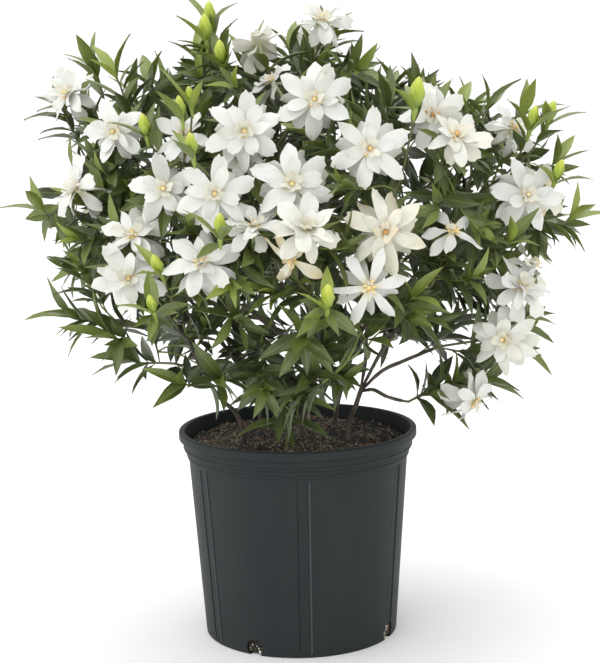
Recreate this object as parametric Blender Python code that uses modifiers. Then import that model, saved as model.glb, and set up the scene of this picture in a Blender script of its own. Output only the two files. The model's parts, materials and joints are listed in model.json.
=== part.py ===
"""A potted gardenia: a nursery pot, its soil, woody stems, leafy sprays and double blooms.

Metres, +Z up, the front of the plant towards -Y, the pot's base centred on the origin.
"""

import math
import random

import bmesh
import bpy
from mathutils import Matrix, Vector
from mathutils.bvhtree import BVHTree

MM = 0.001
GAP = 0.3 * MM
SEED = 11

# The pot: a number 3 nursery container.
POT_SIDES = 30
POT_HEIGHT = 0.244
BASE_RADIUS = 0.1135
BODY_TOP_RADIUS = 0.1288
COLLAR_RADIUS = 0.1304
BAND_RADIUS = 0.1342
LIP_RADIUS = 0.1397
COLLAR_Z = 0.2115
BAND_Z = 0.2210
LIP_Z = 0.2335
WALL = 2.0 * MM
LIP_THICK = 7.0 * MM
FLOOR = 2.5 * MM
FLUTE_WIDTH = 12.0 * MM
FLUTE_DEPTH = 0.7 * MM
FLUTES = 6
FLUTE_ANGLE = -88.0
DRAIN_RADIUS = 10.5 * MM
DRAIN_Z = 8.5 * MM
DRAINS = 4
DRAIN_ANGLE = -118.0

# The soil.
SOIL_Z = 0.2325
SOIL_SIDES = 16
STEM_SIDES = 5
TWIG_SIDES = 3

# Leaves, petals and twigs.
LEAF_THICK = 0.8 * MM
LARGE_LEAF = 63.0 * MM
LEAF_FOLD = {1: 0.0, 2: 0.35}
PETAL_THICK = 0.8 * MM
TUBE_LENGTH = 24.0 * MM
CALYX_RADIUS = 2.2 * MM
BUD_WIDE = 0.28
BUD_TIP = 0.19
CROWN_HEART = Vector((0.0, 0.0, 0.33))

# Each bloom: place in mm, the way it faces, radius in mm, petals of the upper and the lower tier,
# the lift of the two tiers in degrees.
BLOOMS = {
    "01": ((-250, -30, 635), (-0.45, -0.75, 0.45), 36, 5, 3, 18, -48),
    "02": ((-185, -150, 595), (-0.20, -0.95, 0.20), 36, 5, 2, 14, -22),
    "03": ((-228, -140, 535), (-0.80, -0.40, 0.45), 36, 5, 3, 22, -50),
    "04": ((-130, -215, 538), (0.00, -1.00, 0.12), 37, 5, 2, 12, -24),
    "05": ((-165, -195, 490), (-0.10, -0.80, 0.60), 38, 5, 2, 16, -20),
    "06": ((-168, -215, 448), (-0.10, -1.00, 0.10), 43, 5, 2, 10, -26),
    "07": ((-92, -250, 466), (0.00, -0.80, 0.60), 39, 6, 2, 18, -18),
    "08": ((-76, -255, 535), (0.00, -1.00, 0.15), 40, 6, 2, 12, -22),
    "09": ((-110, -190, 590), (0.00, -0.80, 0.60), 33, 4, 2, 18, -16),
    "10": ((-47, -222, 595), (0.00, -1.00, 0.10), 42, 6, 2, 12, -24),
    "11": ((-38, -250, 500), (0.10, -0.55, 0.85), 32, 5, 2, 34, 2),
    "12": ((-52, -186, 556), (-0.30, -0.60, 0.70), 30, 5, 0, 10, -20),
    "13": ((-34, -60, 684), (-0.30, 0.45, 0.80), 33, 5, 2, 10, -30),
    "14": ((-18, -110, 642), (-0.55, -0.15, 0.80), 28, 4, 2, 30, -10),
    "15": ((37, -50, 710), (0.00, -0.75, 0.65), 34, 5, 2, 16, -20),
    "16": ((25, -195, 625), (0.00, -1.00, 0.12), 41, 6, 2, 12, -24),
    "17": ((0, -240, 542), (0.00, -1.00, 0.25), 44, 6, 2, 12, -20),
    "18": ((12, -275, 498), (0.10, -0.75, 0.70), 38, 6, 3, 36, -4),
    "19": ((-2, -262, 468), (-0.30, -0.80, -0.35), 34, 4, 0, 10, -20),
    "20": ((78, -232, 575), (0.00, -1.00, 0.10), 43, 6, 2, 12, -22),
    "21": ((92, -248, 494), (0.00, -1.00, 0.00), 44, 6, 2, 14, -24),
    "22": ((75, -258, 440), (0.00, -1.00, -0.05), 40, 6, 2, 12, -20),
    "23": ((147, -172, 606), (-0.10, -1.00, 0.15), 38, 5, 2, 12, -24),
    "24": ((168, -205, 584), (0.10, -0.80, 0.60), 35, 5, 1, 16, -20),
    "25": ((240, -90, 588), (0.65, -0.50, 0.55), 33, 5, 2, 16, -34),
    "26": ((248, -150, 520), (0.10, -1.00, 0.12), 40, 6, 2, 12, -22),
    "26b": ((284, -112, 517), (0.70, -0.60, 0.20), 30, 4, 0, 8, -20),
    "27": ((163, -200, 487), (0.20, -0.60, 0.80), 34, 5, 0, 12, -14),
    "28": ((240, -158, 424), (0.55, -0.60, 0.55), 37, 6, 3, 22, -18),
    "28b": ((266, -118, 456), (0.75, -0.10, 0.65), 28, 4, 0, 12, -20),
    "29": ((222, -165, 368), (-0.40, -0.90, 0.15), 40, 6, 3, 16, -22),
    "30": ((192, -130, 296), (0.60, -0.40, -0.55), 38, 5, 3, -6, -40),
    "31": ((150, 160, 620), (0.45, 0.75, 0.55), 38, 5, 2, 14, -24),
    "32": ((-130, 175, 610), (-0.40, 0.80, 0.50), 38, 5, 2, 14, -24),
    "33": ((10, 235, 565), (0.00, 0.95, 0.40), 40, 6, 2, 12, -22),
    "34": ((245, 110, 500), (0.85, 0.45, 0.30), 38, 5, 2, 14, -22),
    "35": ((-240, 110, 500), (-0.85, 0.45, 0.30), 38, 5, 2, 14, -22),
    "36": ((115, 230, 470), (0.40, 0.90, 0.25), 38, 5, 2, 14, -22),
    "37": ((-95, 235, 460), (-0.35, 0.90, 0.25), 38, 5, 2, 14, -22),
    "38": ((30, 100, 690), (0.10, 0.45, 0.90), 36, 5, 2, 14, -22),
}
# How far a petal that would cross another bloom is turned up or down, and what is kept of its length.
PETAL_TRIES = ((0, 1), (12, 1), (-12, 1), (24, 1), (-24, 1), (40, 0.9), (-40, 0.9), (60, 0.8))
# What is kept of the width of narrow petals.
SLIM_PETALS = {"22": 0.62, "21": 0.85, "27": 0.82, "25": 0.85, "19": 0.80}
# Blooms that touch and are one piece, each with the bloom that names it.
FUSED_BLOOMS = {"12": "10", "19": "18", "24": "23", "26b": "26", "28b": "28"}

# Each woody stem: its foot on the soil, the point where it forks, its radius in mm there, and the
# place and heading of the end that each spray grows from.
STEMS = {
    "left": ((-62, -36), (-100, -70, 312), 2.5, {
        "left_low": ((-128, -96, 336), (-0.80, -0.55, 0.25)),
        "left_front": ((-128, -112, 380), (-0.45, -0.70, 0.60)),
        "left_top": ((-142, -60, 440), (-0.50, -0.25, 0.90)),
    }),
    "back_left": ((-44, 40), (-74, 62, 312), 2.5, {
        "left_far": ((-150, 16, 420), (-0.75, -0.10, 0.70)),
        "back_left": ((-118, 110, 420), (-0.45, 0.50, 0.75)),
    }),
    "centre": ((4, -28), (24, -46, 318), 3.0, {
        "front_left": ((-48, -128, 400), (-0.35, -0.65, 0.70)),
        "front_low": ((22, -150, 372), (0.05, -0.75, 0.65)),
        "front": ((-18, -112, 440), (-0.10, -0.50, 0.90)),
        "top": ((-14, -30, 500), (-0.05, -0.15, 1.00)),
    }),
    "right": ((58, -44), (74, -58, 300), 2.8, {
        "right_low": ((118, -82, 288), (0.90, -0.30, 0.10)),
        "right_side": ((152, -92, 348), (0.75, -0.40, 0.45)),
        "front_right": ((80, -132, 404), (0.10, -0.60, 0.75)),
        "right_front": ((140, -110, 410), (0.50, -0.50, 0.75)),
    }),
    "back_right": ((46, 44), (66, 52, 316), 2.8, {
        "right_top": ((112, -22, 470), (0.35, -0.25, 0.90)),
        "right_far": ((166, 6, 440), (0.75, -0.05, 0.70)),
        "back_right": ((124, 108, 420), (0.45, 0.50, 0.75)),
        "back": ((16, 116, 440), (0.00, 0.50, 0.85)),
    }),
}

# Each spray: its blooms, its buds and its leafy shoots. A bud or a shoot is a place in mm, and a
# bud also has its length in mm.
SPRAYS = {
    "left_low": ((), (), ((-178, -85, 339), (-118, -165, 327), (-80, -160, 332), (-170, -60, 372))),
    "left_front": (("06", "05"), ((-140, -262, 420, 20), (-128, -250, 462, 24)),
                   ((-240, -110, 393), (-193, -140, 374))),
    "left_top": (("02", "04", "09"), ((-148, -190, 592, 24), (-112, -225, 612, 22), (-100, -215, 622, 20)),
                 ((-188, -80, 650), (-154, -40, 640))),
    "left_far": (("01", "03"), (), ((-256, -30, 631), (-222, 0, 660), (-278, -50, 505), (-248, 40, 458))),
    "back_left": (("32", "35", "37"), (),
                  ((-190, 130, 630), (-236, 70, 600), (-105, 215, 530), (-190, 175, 440), (-96, 110, 664))),
    "front_left": (("07", "08", "11"), ((-74, -290, 496, 24),), ((-60, -200, 400), (-150, -170, 430))),
    "front_low": (("18", "19", "22"), ((32, -292, 424, 28),),
                  ((10, -235, 385), (72, -215, 380), (18, -165, 334))),
    "front": (("17", "10", "12", "16"), ((-96, -268, 574, 24),), ((-30, -200, 480),)),
    "top": (("14", "13", "15"), ((-88, -112, 690, 28), (-84, -96, 708, 24), (-72, -130, 664, 26)),
            ((-45, -30, 660), (-99, -20, 662), (74, -10, 645), (0, 40, 676))),
    "right_low": (("30",), (), ((206, -60, 303), (146, -112, 300))),
    "right_side": (("29", "28", "28b"), (), ((258, -20, 368), (230, -40, 330), (192, -100, 347))),
    "front_right": (("21", "20"), ((128, -222, 612, 32),), ((104, -110, 612), (118, -215, 420))),
    "right_front": (("26", "27", "26b"), ((280, -150, 532, 24),), ((304, -80, 486), (222, -175, 470))),
    "right_top": (("24", "23"), (), ((180, -70, 604), (140, -40, 616), (104, -60, 614))),
    "right_far": (("25",), ((258, -128, 592, 26), (276, -112, 596, 24)),
                  ((258, -20, 598), (294, -30, 545), (296, 50, 474), (225, 20, 606))),
    "back_right": (("31", "36", "34"), (),
                   ((215, 130, 600), (175, 185, 530), (230, 150, 424), (120, 230, 410), (120, 80, 632))),
    "back": (("33", "38"), (),
             ((-40, 150, 655), (75, 190, 630), (30, 235, 490), (-25, 225, 400), (40, 60, 690))),
}
LOW_SHOOT_FOOT = (-12, -96)
LOW_BUD = 18 * MM
LOW_SHOOT = ((-14, -112, 296), (-0.10, -0.45, 0.90))


class Plan:
    """Keeps the faces of all that is already placed, in cells, so that a new piece can be tried on them."""

    CELL = 0.06

    def __init__(self):
        self.items = []
        self.cells = {}

    def cells_of(self, low, high):
        first = [math.floor(low[i] / self.CELL) for i in range(3)]
        last = [math.floor(high[i] / self.CELL) for i in range(3)]
        for x in range(first[0], last[0] + 1):
            for y in range(first[1], last[1] + 1):
                for z in range(first[2], last[2] + 1):
                    yield x, y, z

    def span(self, bm):
        points = [v.co for v in bm.verts]
        low = Vector([min(p[i] for p in points) for i in range(3)])
        high = Vector([max(p[i] for p in points) for i in range(3)])
        return low, high

    def around(self, bm):
        """What lies near a piece: (owner, label, faces)."""
        low, high = self.span(bm)
        found = {index for cell in self.cells_of(low, high) for index in self.cells.get(cell, ())}
        for index in sorted(found):
            owner, label, lo, hi, faces = self.items[index]
            if all(lo[i] <= high[i] and hi[i] >= low[i] for i in range(3)):
                yield owner, label, faces

    def clashes(self, bm, node, skip=()):
        """The owner of the first piece that this one would cross, or None."""
        tree = None
        for owner, label, faces in self.around(bm):
            if owner in skip or label in skip:
                continue
            tree = tree or BVHTree.FromBMesh(bm)
            if tree.overlap(faces):
                return owner
        return None

    def add(self, bm, node, label=""):
        low, high = self.span(bm)
        for cell in self.cells_of(low, high):
            self.cells.setdefault(cell, []).append(len(self.items))
        self.items.append((node, label, low, high, BVHTree.FromBMesh(bm)))


def frame_at(origin, along, normal):
    """A matrix whose Y runs along and whose Z is as near to normal as it can be."""
    y = Vector(along).normalized()
    x = y.cross(Vector(normal))
    if x.length < 1e-4:
        x = y.orthogonal()
    x.normalize()
    z = x.cross(y)
    turned = Matrix((x, y, z)).transposed().to_4x4()
    turned.translation = origin
    return turned


def blade(place, outline, across, thick, bend, fold, grow=0.0):
    """A thin blade. outline holds (distance along, half width); bend is in radians over its length."""
    length = outline[-1][0]
    rows = len(outline) - 1
    bm = bmesh.new()
    bmesh.ops.create_grid(bm, x_segments=across, y_segments=rows, size=0.5)
    for v in bm.verts:
        row = round((v.co.y + 0.5) * rows)
        side = round(2.0 * v.co.x, 3)
        s, half = outline[row]
        turn = bend * s / length
        if half > 0.0:
            half += grow
        if row == rows:
            s += grow
        reach = s if abs(bend) < 1e-4 else math.sin(turn) * length / bend
        rise = 0.0 if abs(bend) < 1e-4 else (math.cos(turn) - 1.0) * length / bend
        lift = fold * abs(side) * half
        v.co = (side * half, reach + lift * math.sin(turn), rise + lift * math.cos(turn))
    bmesh.ops.remove_doubles(bm, verts=bm.verts, dist=1e-6)
    bmesh.ops.triangulate(bm, faces=bm.faces)
    bmesh.ops.transform(bm, matrix=place @ Matrix.Translation((0, 0, (thick + 2 * grow) / 2)), verts=bm.verts)
    bmesh.ops.solidify(bm, geom=bm.faces[:], thickness=thick + 2 * grow)
    bmesh.ops.recalc_face_normals(bm, faces=bm.faces)
    return bm


def turned_body(place, profile, sides):
    """A closed body turned about its Z from (radius, height) pairs, its ends on or off the axis."""
    bm = bmesh.new()
    rings = []
    for radius, height in profile:
        if radius <= 0.0:
            rings.append([bm.verts.new((0, 0, height))])
            continue
        turns = [2 * math.pi * k / sides for k in range(sides)]
        rings.append([bm.verts.new((radius * math.cos(a), radius * math.sin(a), height)) for a in turns])
    for lower, upper in zip(rings, rings[1:]):
        for k in range(sides):
            corners = [lower[k % len(lower)], lower[(k + 1) % len(lower)],
                       upper[(k + 1) % len(upper)], upper[k % len(upper)]]
            bm.faces.new(list(dict.fromkeys(corners)))
    for ring in (rings[0], rings[-1]):
        if len(ring) > 1:
            bm.faces.new(ring)
    bmesh.ops.triangulate(bm, faces=bm.faces)
    bmesh.ops.recalc_face_normals(bm, faces=bm.faces)
    bmesh.ops.transform(bm, matrix=place, verts=bm.verts)
    return bm


def rod(points, radii, sides=4, grow=0.0):
    """A tapered rod along a path, with flat ends."""
    bm = bmesh.new()
    rings = []
    side = Vector((0, 0, 1)).cross(points[1] - points[0])
    if side.length < 1e-6:
        side = Vector((1, 0, 0))
    for k, (point, radius) in enumerate(zip(points, radii)):
        before = points[max(k - 1, 0)]
        after = points[min(k + 1, len(points) - 1)]
        heading = (after - before).normalized()
        side = (side - heading * side.dot(heading)).normalized()
        other = heading.cross(side)
        ring = []
        for j in range(sides):
            a = 2 * math.pi * j / sides
            ring.append(bm.verts.new(point + (side * math.cos(a) + other * math.sin(a)) * (radius + grow)))
        rings.append(ring)
    for lower, upper in zip(rings, rings[1:]):
        for j in range(sides):
            n = (j + 1) % sides
            bm.faces.new((lower[j], lower[n], upper[n], upper[j]))
    bm.faces.new(rings[0])
    bm.faces.new(rings[-1])
    bmesh.ops.triangulate(bm, faces=bm.faces)
    bmesh.ops.recalc_face_normals(bm, faces=bm.faces)
    return bm


def bezier(p0, d0, p3, d3, count, start=0.4, end=0.35):
    span = (p3 - p0).length
    p1 = p0 + d0 * span * start
    p2 = p3 - d3 * span * end
    points = []
    for k in range(count + 1):
        t = k / count
        s = 1 - t
        points.append(p0 * s ** 3 + p1 * 3 * s * s * t + p2 * 3 * s * t * t + p3 * t ** 3)
    return points


def length_of(points):
    return sum((b - a).length for a, b in zip(points, points[1:]))


def jitter(rng, size):
    return Vector((rng.uniform(-size, size), rng.uniform(-size, size), rng.uniform(-size, size)))


def unit(values):
    return Vector(values).normalized()


def metres(values):
    return Vector(values) * MM


def petal_outline(length, width, tier):
    return ((0.0, 0.0), (length * 0.56, width * 0.50), (length, width * (0.20, 0.0)[tier]))


def leaf_outline(length, width):
    return ((0.0, 0.0), (length * 0.46, width * 0.52), (length, 0.0))


def lay_bloom(plan, name, centre, turn, rng, commit=True):
    """One bloom's pieces. A petal that would cross another bloom is bent clear of it."""
    _, facing, radius, upper, lower, lift, droop = BLOOMS[name]
    facing = unit(facing)
    node = "bloom_" + FUSED_BLOOMS.get(name, name)
    sides = max(upper, 4)
    hub = frame_at(centre, facing.orthogonal(), facing) @ Matrix.Rotation(turn, 4, "Z")
    profile = ((CALYX_RADIUS, -TUBE_LENGTH), (3.2 * MM, -2.0 * MM), (4.2 * MM, 0.6 * MM), (0.0, 3.2 * MM))
    bloom = {"node": node, "hub": hub, "profile": profile, "sides": sides, "petals": []}
    for tier, (count, rise, height) in enumerate(((upper, lift, 0.8), (lower, droop, -2.0))):
        for k in range(count):
            face = k if tier == 0 else (k * sides) // count
            angle = 2 * math.pi * (face + 0.5 * (tier == 0)) / sides
            width = rng.uniform(15.0, 17.5) * MM * radius / 38 * SLIM_PETALS.get(name, 1.0)
            length = radius * rng.uniform(0.92, 1.05) * MM
            base = rise + rng.uniform(-6, 6)
            bend = math.radians(rng.uniform(15, 45))
            for change, scale in PETAL_TRIES:
                a = math.radians(base + change)
                out = Vector((math.cos(angle), math.sin(angle), 0))
                along = out * math.cos(a) + Vector((0, 0, math.sin(a)))
                up = Vector((0, 0, math.cos(a))) - out * math.sin(a)
                place = hub @ frame_at(Vector((0, 0, height * MM)), along, up)
                outline = petal_outline(length * scale, width, tier)
                test = blade(place, ((0.0, 1.8 * MM),) + outline[1:], 1, PETAL_THICK, bend, 0.0, 1.0 * MM)
                hit = plan.clashes(test, node, skip=(node,))
                test.free()
                if hit is None:
                    bloom["petals"].append((place, length * scale, width, bend, tier, face))
                    break
    return bloom


def bloom_body(bloom):
    """One bloom as a single skin: a hub with a tube below it, its petals drawn out of the hub's sides."""
    bm = bmesh.new()
    sides = bloom["sides"]
    levels = ((3.6, 1.2, 0.0), (3.8, 0.3, 0.0), (3.4, -1.6, 0.5), (3.0, -2.6, 0.5), (2.2, -24.0, 0.5))
    rings = []
    for radius, height, shift in levels:
        turns = [2 * math.pi * (k + shift) / sides for k in range(sides)]
        ring = [Vector((radius * math.cos(a), radius * math.sin(a), height)) * MM for a in turns]
        rings.append([bm.verts.new(bloom["hub"] @ point) for point in ring])
    tip = bm.verts.new(bloom["hub"] @ Vector((0, 0, 3.2 * MM)))
    roots = {(petal[4], petal[5]): petal[:4] for petal in bloom["petals"]}
    for k in range(sides):
        n = (k + 1) % sides
        bm.faces.new((rings[0][k], rings[0][n], tip))
        bm.faces.new((rings[1][n], rings[1][k], rings[2][k]))
        bm.faces.new((rings[1][n], rings[2][k], rings[2][n]))
        bm.faces.new((rings[3][n], rings[3][k], rings[4][k], rings[4][n]))
        for tier, upper, lower, face in ((0, rings[0], rings[1], k), (1, rings[2], rings[3], n)):
            corners = [upper[k], upper[n], lower[n], lower[k]]
            petal = roots.get((tier, face))
            if petal is None:
                bm.faces.new(corners[::-1])
                continue
            place, length, width, bend = petal
            for row in (1, 2):
                ends = station(place, petal_outline(length, width, tier), row, PETAL_THICK, bend)
                if tier and row == 2:
                    upper_tip, lower_tip = bm.verts.new(ends[0]), bm.verts.new(ends[2])
                    ends = [upper_tip, upper_tip, lower_tip, lower_tip]
                else:
                    ends = [bm.verts.new(point) for point in ends]
                for j in range(4):
                    m = (j + 1) % 4
                    around = (corners[m], corners[j], ends[j], ends[m])
                    bm.faces.new(list(dict.fromkeys(around)))
                corners = ends
            if tier == 0:
                bm.faces.new(corners[::-1])
    bm.faces.new(rings[4][::-1])
    bmesh.ops.triangulate(bm, faces=bm.faces)
    bmesh.ops.recalc_face_normals(bm, faces=bm.faces)
    return bm


def station(place, outline, row, thick, bend, fold=0.0):
    """The four corners of a blade's section, from its right upper corner round to its right lower one."""
    length = outline[-1][0]
    s, half = outline[row]
    turn = bend * s / length
    reach = math.sin(turn) * length / bend
    rise = (math.cos(turn) - 1.0) * length / bend
    up = Vector((0, math.sin(turn), math.cos(turn))) * thick / 2
    middle = Vector((0, reach, rise)) + up.normalized() * fold * half
    side = Vector((half, 0, 0))
    corners = (middle + side + up, middle - side + up, middle - side - up, middle + side - up)
    return [place @ corner for corner in corners]


def keep_bloom(plan, name, bloom):
    for place, length, width, bend, tier, _ in bloom["petals"]:
        real = blade(place, petal_outline(length, width, tier), 1, PETAL_THICK, bend, 0.0)
        plan.add(real, bloom["node"], "petal")
        real.free()
    body = bloom_body(bloom)
    plan.add(body, bloom["node"], "body_" + name)
    body.free()


def lay_tube(plan, name, bloom):
    body = turned_body(bloom["hub"], bloom["profile"], bloom["sides"])
    plan.add(body, bloom["node"], "tube_" + name)
    body.free()


def petals_met(bloom, partner):
    """How many petals of one bloom pass through the petals of another."""
    met = 0
    for place, length, width, bend, tier, _ in bloom["petals"]:
        one = blade(place, petal_outline(length * 0.9, width * 0.9, tier), 1, PETAL_THICK, bend, 0.0)
        tree = BVHTree.FromBMesh(one)
        one.free()
        for place2, length2, width2, bend2, tier2, _ in partner["petals"]:
            two = blade(place2, petal_outline(length2 * 0.9, width2 * 0.9, tier2), 1, PETAL_THICK, bend2, 0.0)
            met += bool(tree.overlap(BVHTree.FromBMesh(two)))
            two.free()
    return met


def plan_blooms(plan):
    """All blooms. One that shares its node is drawn towards its partner until their petals join."""
    blooms = {}
    for name, row in BLOOMS.items():
        if name not in FUSED_BLOOMS:
            rng = random.Random(f"{SEED} {name}")
            blooms[name] = lay_bloom(plan, name, metres(row[0]), rng.uniform(0, 6.28), rng)
            lay_tube(plan, name, blooms[name])
    for name in list(blooms):
        rng = random.Random(f"{SEED} {name}")
        centre = blooms[name]["hub"].translation.copy()
        blooms[name] = lay_bloom(plan, name, centre, rng.uniform(0, 6.28), rng)
        keep_bloom(plan, name, blooms[name])
    for name, partner in FUSED_BLOOMS.items():
        home = metres(BLOOMS[partner][0])
        own = metres(BLOOMS[name][0])
        for attempt in range(48):
            rng = random.Random(f"{SEED} {name} {attempt % 6}")
            centre = home.lerp(own, 1.0 - 0.07 * (attempt // 6))
            bloom = lay_bloom(plan, name, centre, rng.uniform(0, 6.28), rng)
            if petals_met(bloom, blooms[partner]) >= 1 and len(bloom["petals"]) >= 4:
                break
        blooms[name] = bloom
        lay_tube(plan, name, bloom)
        keep_bloom(plan, name, bloom)
    return blooms


def plan_stems(plan, blooms):
    """Paths of each woody stem: the trunk from the soil, then a branch to each end."""
    rng = random.Random(SEED + 1)
    stems = {}
    for name, (foot, fork, radius, ends) in STEMS.items():
        node = "stem_" + name
        foot = Vector((foot[0] * MM, foot[1] * MM, SOIL_Z - 0.055))
        collar = Vector((foot.x, foot.y, SOIL_Z + 0.008))
        fork = metres(fork)
        lean = (fork - collar).normalized()
        heading = (lean + Vector((0, 0, 0.4))).normalized()
        trunk = [foot] + bezier(collar, Vector((0, 0, 1)), fork, heading, 3)
        thick = [(radius + 0.8 - 0.8 * k / 4) * MM for k in range(5)]
        real = rod(trunk, thick, STEM_SIDES)
        plan.add(real, node, "trunk")
        real.free()
        stems[name] = {"node": node, "foot": foot, "radius": thick[0], "ends": {},
                       "rods": [(trunk, thick, STEM_SIDES)]}
    for name, (foot, fork, radius, ends) in STEMS.items():
        stem = stems[name]
        trunk = stem["rods"][0][0]
        for spray, (end, out) in ends.items():
            end, out = metres(end), unit(out)
            start = trunk[3].lerp(trunk[4], 0.7)
            lead = (trunk[4] - trunk[3]).normalized()
            for attempt in range(40):
                shift = jitter(rng, min(attempt, 20) * 1.5 * MM)
                first = (lead + (end - start).normalized() * 0.6).normalized()
                path = bezier(start, first, end + shift * 0.3, (out + shift * 12).normalized(), 3)
                test = rod(path, [2.4 * MM] * 4, 5, 1.0 * MM)
                hit = plan.clashes(test, stem["node"], skip=(stem["node"],))
                test.free()
                if hit is None:
                    break
            sizes = [(radius * 0.9 - (radius * 0.9 - 2.0) * k / 3) * MM for k in range(4)]
            sizes[0] = radius * 0.55 * MM
            real = rod(path, sizes, 4)
            plan.add(real, stem["node"], "branch")
            real.free()
            stem["rods"].append((path, sizes, 4))
            stem["ends"][spray] = (path[-1], (path[-1] - path[-2]).normalized())
    return stems


def plan_sprays(plan, blooms, stems):
    """Twigs of each spray, from a stem's end to each bloom, bud and shoot."""
    rng = random.Random(SEED + 2)
    sprays = {}
    ends = {spray: end for stem in stems.values() for spray, end in stem["ends"].items()}
    for name, (own_blooms, buds, shoots) in SPRAYS.items():
        node = "spray_" + name
        root, lead = ends[name]
        targets = []
        for bloom in own_blooms:
            hub = blooms[bloom]["hub"]
            facing = hub.to_3x3() @ Vector((0, 0, 1))
            targets.append(("bloom", hub.translation - facing * (TUBE_LENGTH + GAP), facing, bloom))
        for bud in buds:
            place = metres(bud[:3])
            out = (place - CROWN_HEART).normalized() * 0.5 + Vector((0, -0.05, 1.0))
            targets.append(("bud", place, out.normalized(), bud[3] * MM))
        for shoot in shoots:
            place = metres(shoot)
            out = (place - CROWN_HEART).normalized() + Vector((0, 0, 0.25))
            targets.append(("shoot", place, out.normalized(), None))
        spray = {"node": node, "twigs": []}
        for kind, place, facing, extra in targets:
            starts = []
            if not spray["twigs"]:
                starts.append((0.0, root + lead * GAP, lead, True))
            for twig in spray["twigs"]:
                points = twig["points"]
                for k in range(1, max(2, len(points) * 2 // 3)):
                    heading = (points[k] - points[k - 1]).normalized()
                    reach = place - points[k]
                    turn = heading.angle(reach) if reach.length > 1e-6 else 3.0
                    if reach.length < 0.02:
                        continue
                    score = reach.length * (1.0 + 0.6 * turn)
                    starts.append((score, points[k], heading, False))
            starts.sort(key=lambda s: s[0])
            best = None
            for attempt in range(60):
                _, start, heading, fresh = starts[(attempt // 6) % len(starts)]
                reach = (place - start).normalized()
                shift = jitter(rng, 0.05 * min(attempt, 20))
                goal, aim = place, facing
                if kind != "bloom":
                    goal = place + jitter(rng, min(attempt, 12) * 0.6 * MM)
                    aim = (facing + shift * 0.4).normalized()
                first = heading if fresh else (heading * 0.7 + reach).normalized()
                steps = 3 if (goal - start).length > 0.14 else 2
                neck, last = goal - aim * 7 * MM, (aim + shift * 0.5).normalized()
                if fresh:
                    near = start + first * 6 * MM
                    points = [start] + bezier(near, first, neck, last, steps, 0.35 + 0.3 * abs(shift.x), 0.35)
                else:
                    points = bezier(start, (first + shift).normalized(), neck, last, steps, 0.35, 0.35)
                points.append(goal)
                near_end = points[:-1] + [goal - aim * 0.8 * MM]
                tested = near_end
                if fresh:
                    tested = [near_end[0] + first * 1.5 * MM] + near_end[1:]
                test = rod(tested, [1.9 * MM] * len(tested), 4, 0.8 * MM)
                skip = (node,) if kind != "bloom" else (node, "tube_" + extra, "body_" + extra)
                hit = plan.clashes(test, node, skip=skip)
                test.free()
                if hit is None:
                    best = points
                    break
            if best is None:
                continue
            count = len(best)
            base = 1.9 if fresh else 1.5
            sizes = [(base - (base - 1.2) * k / (count - 1)) * MM for k in range(count)]
            if not fresh:
                sizes[0] = 0.7 * MM
            if kind == "bloom":
                sizes[-1] = CALYX_RADIUS
            real = rod(best, sizes, TWIG_SIDES)
            plan.add(real, node, f"twig_{len(spray['twigs'])}")
            real.free()
            spray["twigs"].append({"points": best, "sizes": sizes, "kind": kind, "extra": extra, "nodes": []})
            if kind == "bud":
                body = bud_body(best[-1], aim, extra)
                plan.add(body, node, "bud")
                body.free()
        sprays[name] = spray
    return sprays


def bud_body(foot, facing, length):
    place = frame_at(foot, facing.orthogonal(), facing)
    wide, tip = length * BUD_WIDE, length * BUD_TIP
    profile = ((1.2 * MM, 0.0), (wide, length * 0.42), (tip, length * 0.78), (0.0, length))
    return turned_body(place, profile, 4)


def sections(twig):
    """Where a twig's rings lie: (distance along, angle or None, node or None), from its foot to its end."""
    points = twig["points"]
    reached, rows = 0.0, []
    for k, point in enumerate(points):
        if k:
            reached += (point - points[k - 1]).length
        rows.append((reached, None, None))
    for node in twig["nodes"]:
        if not node["leaves"]:
            continue
        at = reached - node["back"]
        rows = [row for row in rows if abs(row[0] - at) > 2.5 * MM or row[0] in (0.0, reached)]
        if node["back"] < 1 * MM:
            rows = [row for row in rows if row[0] != reached]
        rows.append((at - 0.45 * MM, node["turn"], None))
        rows.append((at + 0.45 * MM, node["turn"], node))
    return sorted(rows, key=lambda row: row[0])


def place_along(points, sizes, distance):
    """The point, heading and radius at a distance along a path."""
    left = distance
    for k in range(1, len(points)):
        step = points[k] - points[k - 1]
        if left <= step.length + 1e-7 or k == len(points) - 1:
            share = min(left / step.length, 1.0)
            radius = sizes[k - 1] + (sizes[k] - sizes[k - 1]) * share
            return points[k - 1] + step * share, step.normalized(), radius
        left -= step.length
    return None


def side_along(points, distance):
    """A direction across the path, carried along it without turning about it."""
    side = Vector((0, 0, 1)).cross(points[1] - points[0])
    if side.length < 1e-6:
        side = Vector((1, 0, 0))
    left = distance
    for k in range(1, len(points)):
        step = points[k] - points[k - 1]
        heading = step.normalized()
        side = (side - heading * side.dot(heading)).normalized()
        if left <= step.length + 1e-7:
            break
        left -= step.length
    return side


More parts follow.
